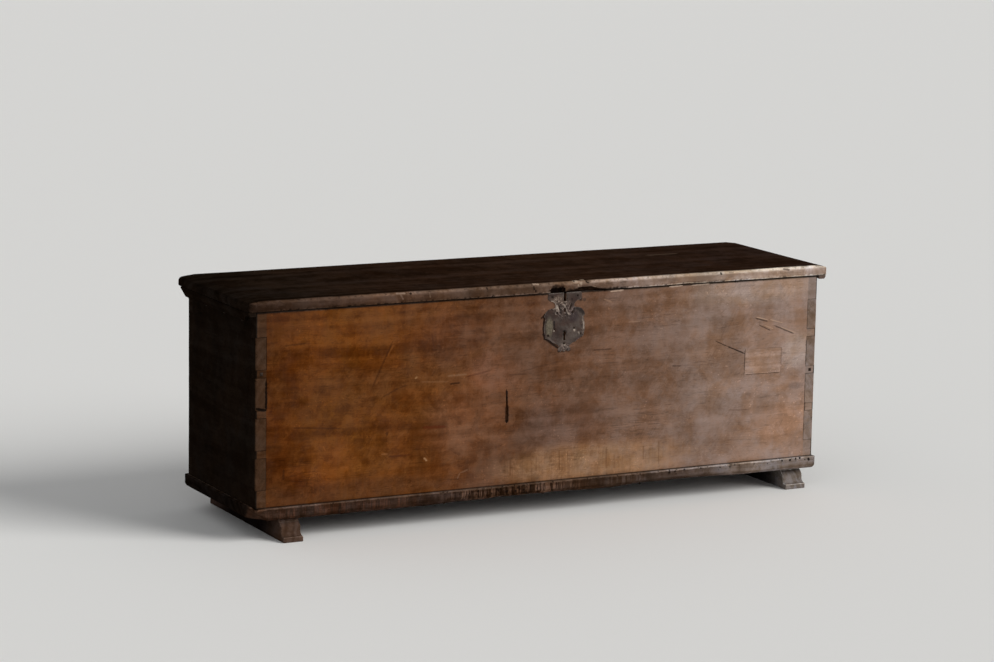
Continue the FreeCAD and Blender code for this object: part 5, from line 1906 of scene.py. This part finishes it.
@dataclass
class ChestBox:
    """The four boards of the box, dovetailed at the corners, and the repair let into the front.

    The gouge, the patch's ends and its edges are places where the front board's grid is finer.
    """

    half_length: float = HALF_LENGTH
    half_depth: float = HALF_DEPTH
    thick: float = THICK
    top: float = BOX_TOP
    first_tail: float = 0.14
    tail_height: float = 84.5 * MM
    tail_pitch: float = 105.5 * MM
    tail_count: int = 4
    flare: float = 4 * MM
    corner_round: float = 4 * MM
    top_round: float = 1.5 * MM
    joint: float = 1.3 * MM
    flare_joint: float = 0.6 * MM
    gouge: float = -0.122
    patch_ends: tuple[float, float] = (0.62, 0.738)
    patch_edges: tuple[float, float] = (0.341, 0.411)

    def tails(self) -> list[tuple[float, float]]:
        """The lower and the upper end of each tail."""
        lows = [self.first_tail + n * self.tail_pitch for n in range(self.tail_count)]
        return [(low, low + self.tail_height) for low in lows]

    def arrises(self) -> list[Arris]:
        """Lists the box's outer arrises.

        Returns:
            The four upright corners and the four along the top.
        """
        sides = (-1, 1)
        made = [
            Arris(Axis.X, x * self.half_length, Axis.Y, y * self.half_depth, self.corner_round)
            for x in sides
            for y in sides
        ]
        made += [Arris(Axis.Y, y * self.half_depth, Axis.Z, self.top, self.top_round) for y in sides]
        made += [Arris(Axis.X, x * self.half_length, Axis.Z, self.top, self.top_round) for x in sides]
        return made

    def near_joint(self, point: Vector) -> bool:
        """Tells whether a point lies where the dovetails' joint lines run.

        Args:
            point: The point.

        Returns:
            Whether it does.
        """
        margin = 0.1 * MM
        if abs(point.x) < self.half_length - self.thick - margin:
            return False
        if abs(point.y) < self.half_depth - self.thick - margin:
            return False
        if abs(point.x) > self.half_length - margin and abs(point.y) > self.half_depth - margin:
            return False
        tails = self.tails()
        return tails[0][0] - margin < point.z < tails[-1][1] + margin

    def joint_lines(self) -> dict[Axis, list[float]]:
        """Lists the grid lines beside the dovetails' joint lines.

        Returns:
            The lines' places on each axis.
        """
        inner = self.half_length - self.thick
        depth = self.half_depth - self.thick
        tails = self.tails()
        bounds = [z for tail in tails for z in tail]
        shifts = (self.flare / 2, self.flare)
        flares = [low + shift for low, _ in tails for shift in shifts]
        flares += [high - shift for _, high in tails for shift in shifts]
        return {
            Axis.X: [-inner, inner] + beside((-inner, inner), (self.joint,)),
            Axis.Y: beside((-depth, depth), (self.joint,)),
            Axis.Z: bounds + beside(bounds, (self.joint,)) + flares + beside(flares, (self.flare_joint,)),
        }

    def front(self) -> WornPiece:
        """Plans the front board, whose grid is finer round the gouge and the patch.

        Returns:
            The board.
        """
        extra = self.joint_lines()
        extra[Axis.X] += beside((self.gouge,), (1.5 * MM, 3 * MM, 6 * MM))
        extra[Axis.X] += beside(self.patch_ends, (1 * MM, 3 * MM))
        extra[Axis.Z] += beside(self.patch_edges, (1 * MM, 3 * MM))
        left, right, front = -self.half_length, self.half_length, -self.half_depth
        return WornPiece(
            "front_board",
            Body.BOX,
            Finishes.FRONT,
            "front_walnut",
            extra=extra,
            arrises=self.arrises(),
            chips=[
                Chip((left, front, 0.357), (0.012, 0.014, 0.012), 5 * MM, (0.7, 0.7, 0.0)),
                Chip((left + 4 * MM, front, 0.205), (0.01, 0.01, 0.02), 2.5 * MM, (0.7, 0.7, 0.0)),
                Chip((right, front, 0.29), (0.01, 0.01, 0.018), 2.5 * MM, (-0.7, 0.7, 0.0)),
            ],
            seam=self.near_joint,
        )

    def pieces(self) -> list[WornPiece]:
        """Plans all the pieces of the box.

        Returns:
            The four boards and the patch.
        """
        shared = {"extra": self.joint_lines(), "arrises": self.arrises(), "seam": self.near_joint}
        return [
            self.front(),
            WornPiece("back_board", Body.BOX, Finishes.BACK, "back_walnut", **shared),
            WornPiece("left_end_board", Body.BOX, Finishes.LEFT_END, "end_walnut", **shared),
            WornPiece("right_end_board", Body.BOX, Finishes.RIGHT_END, "end_walnut", **shared),
            WornPiece(
                "front_patch", Body.BOX, Finishes.PATCH, "patch_walnut", grid=12 * MM, ripple=0.5 * MM
            ),
        ]


@dataclass
class Plinth:
    """The base board, whose lower edge is worn wavy, on its two moulded runners.

    The stops of hollow and torn are millimetres from the box's left end: the lower edge is worn
    away between them.
    """

    half_length: float = BASE_HALF_LENGTH
    half_depth: float = BASE_HALF_DEPTH
    top: float = BASE_TOP
    front_round: float = 2.5 * MM
    end_round: float = 3 * MM
    corner_round: float = 6 * MM
    spread: float = 0.8
    runner_edge: float = 1.6 * MM
    hollow: tuple[float, float, float, float] = (1040, 1170, 1290, 1480)
    torn: tuple[float, float, float, float] = (520, 620, 860, 980)

    def edge_lift(self, x: float) -> float:
        """How far the worn lower edge stands above its first line.

        Args:
            x: The place along the chest.

        Returns:
            The lift in metres.
        """
        place = (x + HALF_LENGTH) / MM
        along = Vector((x, 0, 0))
        hollow = 6 * MM * swell(self.hollow, place)
        torn = 5 * MM * swell(self.torn, place) * (0.5 + 0.5 * waves(along, 38 * MM, seed=4.4))
        return hollow + torn + 1.5 * MM * (0.5 + 0.5 * waves(along, 90 * MM, seed=8.8))

    def wear_edge(self, point: Vector, at_rest: Vector) -> None:
        """Raises and thins the base board's lower front edge.

        Args:
            point: The point, which is moved in place.
            at_rest: Where the point was before any wear.
        """
        from_front = at_rest.y + self.half_depth
        below_top = self.top - at_rest.z
        share = smooth(33 * MM, 10 * MM, from_front) * smooth(5 * MM, 27 * MM, below_top)
        point.z += self.edge_lift(at_rest.x) * share
        point.y += 2.5 * MM * smooth(0.25, 0.75, waves(at_rest, 16 * MM, seed=6.1)) * share
        corner = -HALF_LENGTH + 36 * MM * smooth(3 * MM, 37 * MM, below_top)
        if point.x < corner:
            point.x += (corner - point.x) * smooth(68 * MM, 23 * MM, from_front)

    def arrises(self) -> list[Arris]:
        """Lists the base board's upper and upright arrises.

        Returns:
            The arrises.
        """
        sides = (-1, 1)
        made = [
            Arris(Axis.Y, y * self.half_depth, Axis.Z, self.top, self.front_round, self.spread)
            for y in sides
        ]
        made += [
            Arris(Axis.X, x * self.half_length, Axis.Z, self.top, self.end_round, self.spread)
            for x in sides
        ]
        made += [
            Arris(Axis.X, x * self.half_length, Axis.Y, y * self.half_depth, self.corner_round)
            for x in sides
            for y in sides
        ]
        return made

    def pieces(self) -> list[WornPiece]:
        """Plans the base board and the two runners.

        Returns:
            The three pieces.
        """
        edge = (-self.half_depth, self.top + 1 * MM)
        base = WornPiece(
            "base_board",
            Body.BOX,
            Finishes.BASE,
            "base_walnut",
            grid=12 * MM,
            arrises=self.arrises(),
            chips=[
                Chip((-self.half_length, *edge), (0.05, 0.02, 0.024), 9 * MM, (0.35, 0.85, -0.4)),
                Chip((0.3, *edge), (0.05, 0.012, 0.01), 3 * MM, (0.0, 0.9, -0.4)),
                Chip((0.56, *edge), (0.03, 0.012, 0.01), 3 * MM, (0.0, 0.9, -0.4)),
            ],
            ripple=0.8 * MM,
            shaping=self.wear_edge,
        )
        runners = [
            WornPiece(
                node, Body.BOX, Finishes.RUNNERS, "runner_walnut", grid=10 * MM, edge=self.runner_edge
            )
            for node in ("left_runner", "right_runner")
        ]
        return [base, *runners]

    def nails(self) -> list[KeptNode]:
        """The nails of the base board, the runners and the corners."""
        nodes = ("base_nails", "runner_nails", "corner_nails")
        return [KeptNode(node, Finishes.NAILS, 0.5 * MM) for node in nodes]


@dataclass
class Lid:
    """The lid plank with its dented front edge, and its two cleats."""

    front: float = LID_FRONT
    bottom: float = LID_BOTTOM
    top: float = LID_TOP
    hasp_bed: tuple[float, float] = (-0.02, 0.22)

    def dent(self, point: Vector, at_rest: Vector) -> None:
        """Dents and wears the lid's front edge.

        Args:
            point: The point, which is moved in place.
            at_rest: Where the point was before any wear.
        """
        front = smooth(25 * MM, 4 * MM, at_rest.y - self.front)
        small = smooth(0.3, 0.8, waves(at_rest, 18 * MM, seed=2.2))
        large = smooth(0.1, 0.9, waves(Vector((at_rest.x, 0, 0)), 120 * MM, seed=7.7))
        point.y += (2.2 * MM * small + 1.4 * MM * large) * front
        rim = front * smooth(self.top - 12 * MM, self.top, at_rest.z)
        point.z -= (0.8 * MM * small + 0.8 * MM * large) * rim

    def pieces(self) -> list[WornPiece]:
        """Plans the plank and the two cleats.

        Returns:
            The three pieces.
        """
        rim = self.top - 0.3 * MM
        plank = WornPiece(
            "lid_board",
            Body.LID,
            Finishes.LID,
            "lid_walnut",
            grid=14 * MM,
            fine=(1 * MM, 3 * MM, 6 * MM, 9 * MM, 13 * MM),
            extra={Axis.X: spaced(*self.hasp_bed, 4 * MM)},
            arrises=[
                Arris(Axis.Y, self.front, Axis.Z, self.bottom, 2 * MM),
                Arris(Axis.Y, self.front, Axis.Z, self.top, 0.0),
            ],
            chips=[
                Chip((0.112, self.front, rim), (0.014, 0.012, 0.008), 3 * MM, (0.0, 0.7, -0.7)),
                Chip((-0.62, self.front, rim), (0.03, 0.012, 0.01), 2 * MM, (0.0, 0.7, -0.7)),
                Chip((0.42, self.front, self.bottom), (0.05, 0.01, 0.008), 2.5 * MM, (0.0, 0.7, 0.7)),
            ],
            ripple=0.7 * MM,
            shaping=self.dent,
            edge=0.8 * MM,
        )
        cleats = [
            WornPiece(node, Body.LID, Finishes.CLEATS, "lid_walnut", grid=12 * MM, edge=1.2 * MM)
            for node in ("left_cleat", "right_cleat")
        ]
        return [plank, *cleats]

    def nails(self) -> list[KeptNode]:
        """The nails of the cleats."""
        return [KeptNode("cleat_nails", Finishes.NAILS, 0.4 * MM)]


@dataclass
class Lock:
    """The hammered iron plate on the front, and the lock's works behind it."""

    middle: float = (PLATE_LEFT + PLATE_RIGHT) / 2
    face: float = PLATE_FACE
    emboss: float = 1.1 * MM
    boss_height: float = 0.49
    boss_radius: float = 30 * MM
    band_across: tuple[float, float, float, float] = (-58 * MM, -54 * MM, -37 * MM, -33 * MM)
    band_up: tuple[float, float, float, float] = (0.498, 0.502, 0.533, 0.538)

    def hammer(self, point: Vector, at_rest: Vector) -> None:
        """Raises the plate's boss, band and rim, and dents it.

        Args:
            point: The point, which is moved in place.
            at_rest: Where the point was before any wear.
        """
        if at_rest.y > self.face + 0.5 * MM:
            return
        x, z = at_rest.x - self.middle, at_rest.z
        band = swell(self.band_across, x) * swell(self.band_up, z)
        boss = smooth(self.boss_radius, 0.0, math.hypot(x, (z - self.boss_height) * 0.8))
        point.y -= self.emboss * (band + 0.5 * boss)
        point.y += 0.6 * MM * (1 + waves(at_rest, 9 * MM, seed=5.5))

    def pieces(self) -> list[WornPiece]:
        """Plans the plate.

        Returns:
            The plate alone.
        """
        return [
            WornPiece(
                "lock_plate",
                Body.BOX,
                Finishes.PLATE,
                "plate_iron",
                grid=3 * MM,
                fine=(),
                ripple=0.0,
                edge=0.9 * MM,
                shaping=self.hammer,
                sharp=40.0,
            )
        ]

    def works(self) -> list[KeptNode]:
        """Plans the nails and the lock's works.

        Returns:
            The nails, the cover, the bolt and what holds it.
        """
        nails = ("lock_plate_nails", "lock_cover_nails")
        bolt = ("lock_bolt", "lock_bolt_guides", "lock_bolt_stump")
        inner = ("lock_cover", *bolt, "lock_key_post", "lock_spring")
        made = [KeptNode(node, Finishes.NAILS, 0.35 * MM) for node in nails]
        return made + [KeptNode(node, Finishes.LOCK, 0.25 * MM) for node in inner]


@dataclass
class Hinges:
    """The two strap hinges at the back."""

    sides: tuple[str, str] = ("left", "right")

    def parts(self) -> list[KeptNode]:
        """Plans the hinges' parts.

        Returns:
            The straps, the pins and their nails.
        """
        kinds = ("lid_strap", "back_strap", "hinge_pin")
        straps = [f"{side}_{kind}" for side in self.sides for kind in kinds]
        nails = ("lid_strap_nails", "back_strap_nails")
        made = [KeptNode(node, Finishes.STRAPS, 0.5 * MM) for node in straps]
        return made + [KeptNode(node, Finishes.NAILS, 0.5 * MM) for node in nails]


# Studio


@dataclass
class Studio:
    """The pale floor, the soft light and the camera."""

    floor_size: float = 80.0
    floor_colour: Colour = (0.85, 0.85, 0.84)
    camera_at: Point = (-4.0123, -7.6292, 1.9782)
    yaw: float = 27.525
    pitch: float = -9.951
    roll: float = 1.0145
    lens: float = 115.67
    sky: float = 0.3
    shown_sky: float = 0.85

    def floor(self) -> None:
        """Lays the floor."""
        mesh = bpy.data.meshes.new("floor")
        half = self.floor_size / 2
        corners = [(-half, -half, 0), (half, -half, 0), (half, half, 0), (-half, half, 0)]
        mesh.from_pydata(corners, [], [(0, 1, 2, 3)])
        floor = bpy.data.objects.new("floor", mesh)
        bpy.context.scene.collection.objects.link(floor)
        material = bpy.data.materials.new("pale_floor")
        material.use_nodes = True
        material.node_tree.nodes.clear()
        graph = Graph(material.node_tree)
        surface = graph.add("BsdfPrincipled", {"Base Color": self.floor_colour, "Roughness": 0.8})
        surface.inputs["Specular IOR Level"].default_value = 0.2
        graph.add("OutputMaterial", {"Surface": surface.outputs[0]})
        mesh.materials.append(material)

    def sun(self, name: str, towards: Point, strength: float, angle: float, colour: Colour) -> None:
        """Adds a soft light from far away.

        Args:
            name: The light's name.
            towards: The direction from the chest to the light.
            strength: Its strength.
            angle: How wide it is, in degrees.
            colour: Its colour.
        """
        light = bpy.data.lights.new(name, "SUN")
        light.energy, light.angle, light.color = strength, math.radians(angle), colour
        lamp = bpy.data.objects.new(name, light)
        lamp.rotation_mode = "QUATERNION"
        lamp.rotation_quaternion = Vector(towards).to_track_quat("Z", "Y")
        lamp.location = Vector(towards) * 3
        bpy.context.scene.collection.objects.link(lamp)

    def world(self) -> None:
        """Makes the pale surroundings, which light the chest evenly."""
        world = bpy.data.worlds.new("studio")
        bpy.context.scene.world = world
        world.use_nodes = True
        world.node_tree.nodes.clear()
        graph = Graph(world.node_tree)
        rays = graph.add("LightPath").outputs
        seen = graph.math("MAXIMUM", rays["Is Camera Ray"], rays["Is Glossy Ray"])
        seen = graph.math("MAXIMUM", seen, rays["Is Transmission Ray"])
        strength = graph.math("ADD", graph.math("MULTIPLY", seen, self.shown_sky - self.sky), self.sky)
        back = graph.add("Background", {"Color": (1.0, 1.0, 1.0), "Strength": strength})
        graph.add("OutputWorld", {"Surface": back.outputs[0]})

    def camera(self) -> None:
        """Puts the camera where the photograph was taken from."""
        yaw, pitch, roll = (math.radians(a) for a in (self.yaw, self.pitch, self.roll))
        ahead = Vector((math.sin(yaw) * math.cos(pitch), math.cos(yaw) * math.cos(pitch), math.sin(pitch)))
        level = Vector((math.cos(yaw), -math.sin(yaw), 0.0))
        above = level.cross(ahead)
        right = level * math.cos(roll) + above * math.sin(roll)
        up = above * math.cos(roll) - level * math.sin(roll)
        camera = bpy.data.objects.new("camera", bpy.data.cameras.new("camera"))
        camera.data.lens = self.lens
        camera.data.clip_end = 200.0
        turn = Matrix((right, up, -ahead)).transposed().to_4x4()
        camera.matrix_world = Matrix.Translation(self.camera_at) @ turn
        bpy.context.scene.collection.objects.link(camera)
        bpy.context.scene.camera = camera

    def build(self) -> None:
        """Sets up the whole studio."""
        self.floor()
        self.sun("key", towards=(0.6, -0.64, 0.48), strength=2.7, angle=34.0, colour=(1.0, 0.985, 0.96))
        self.sun("fill", towards=(-0.55, -0.7, 0.45), strength=0.35, angle=60.0, colour=(0.94, 0.97, 1.0))
        self.world()
        self.camera()
        bpy.context.scene.view_settings.view_transform = "Standard"


def main() -> None:
    """Builds the sub-assemblies in order, then the studio."""
    logging.basicConfig(level=logging.INFO, format="%(message)s")
    box, plinth, lid, lock, hinges = ChestBox(), Plinth(), Lid(), Lock(), Hinges()
    for piece in box.pieces() + plinth.pieces() + lid.pieces() + lock.pieces():
        piece.build()
    for node in plinth.nails() + lid.nails() + lock.works() + hinges.parts():
        node.build()
    Studio().build()


if __name__ == "__main__":
    main()
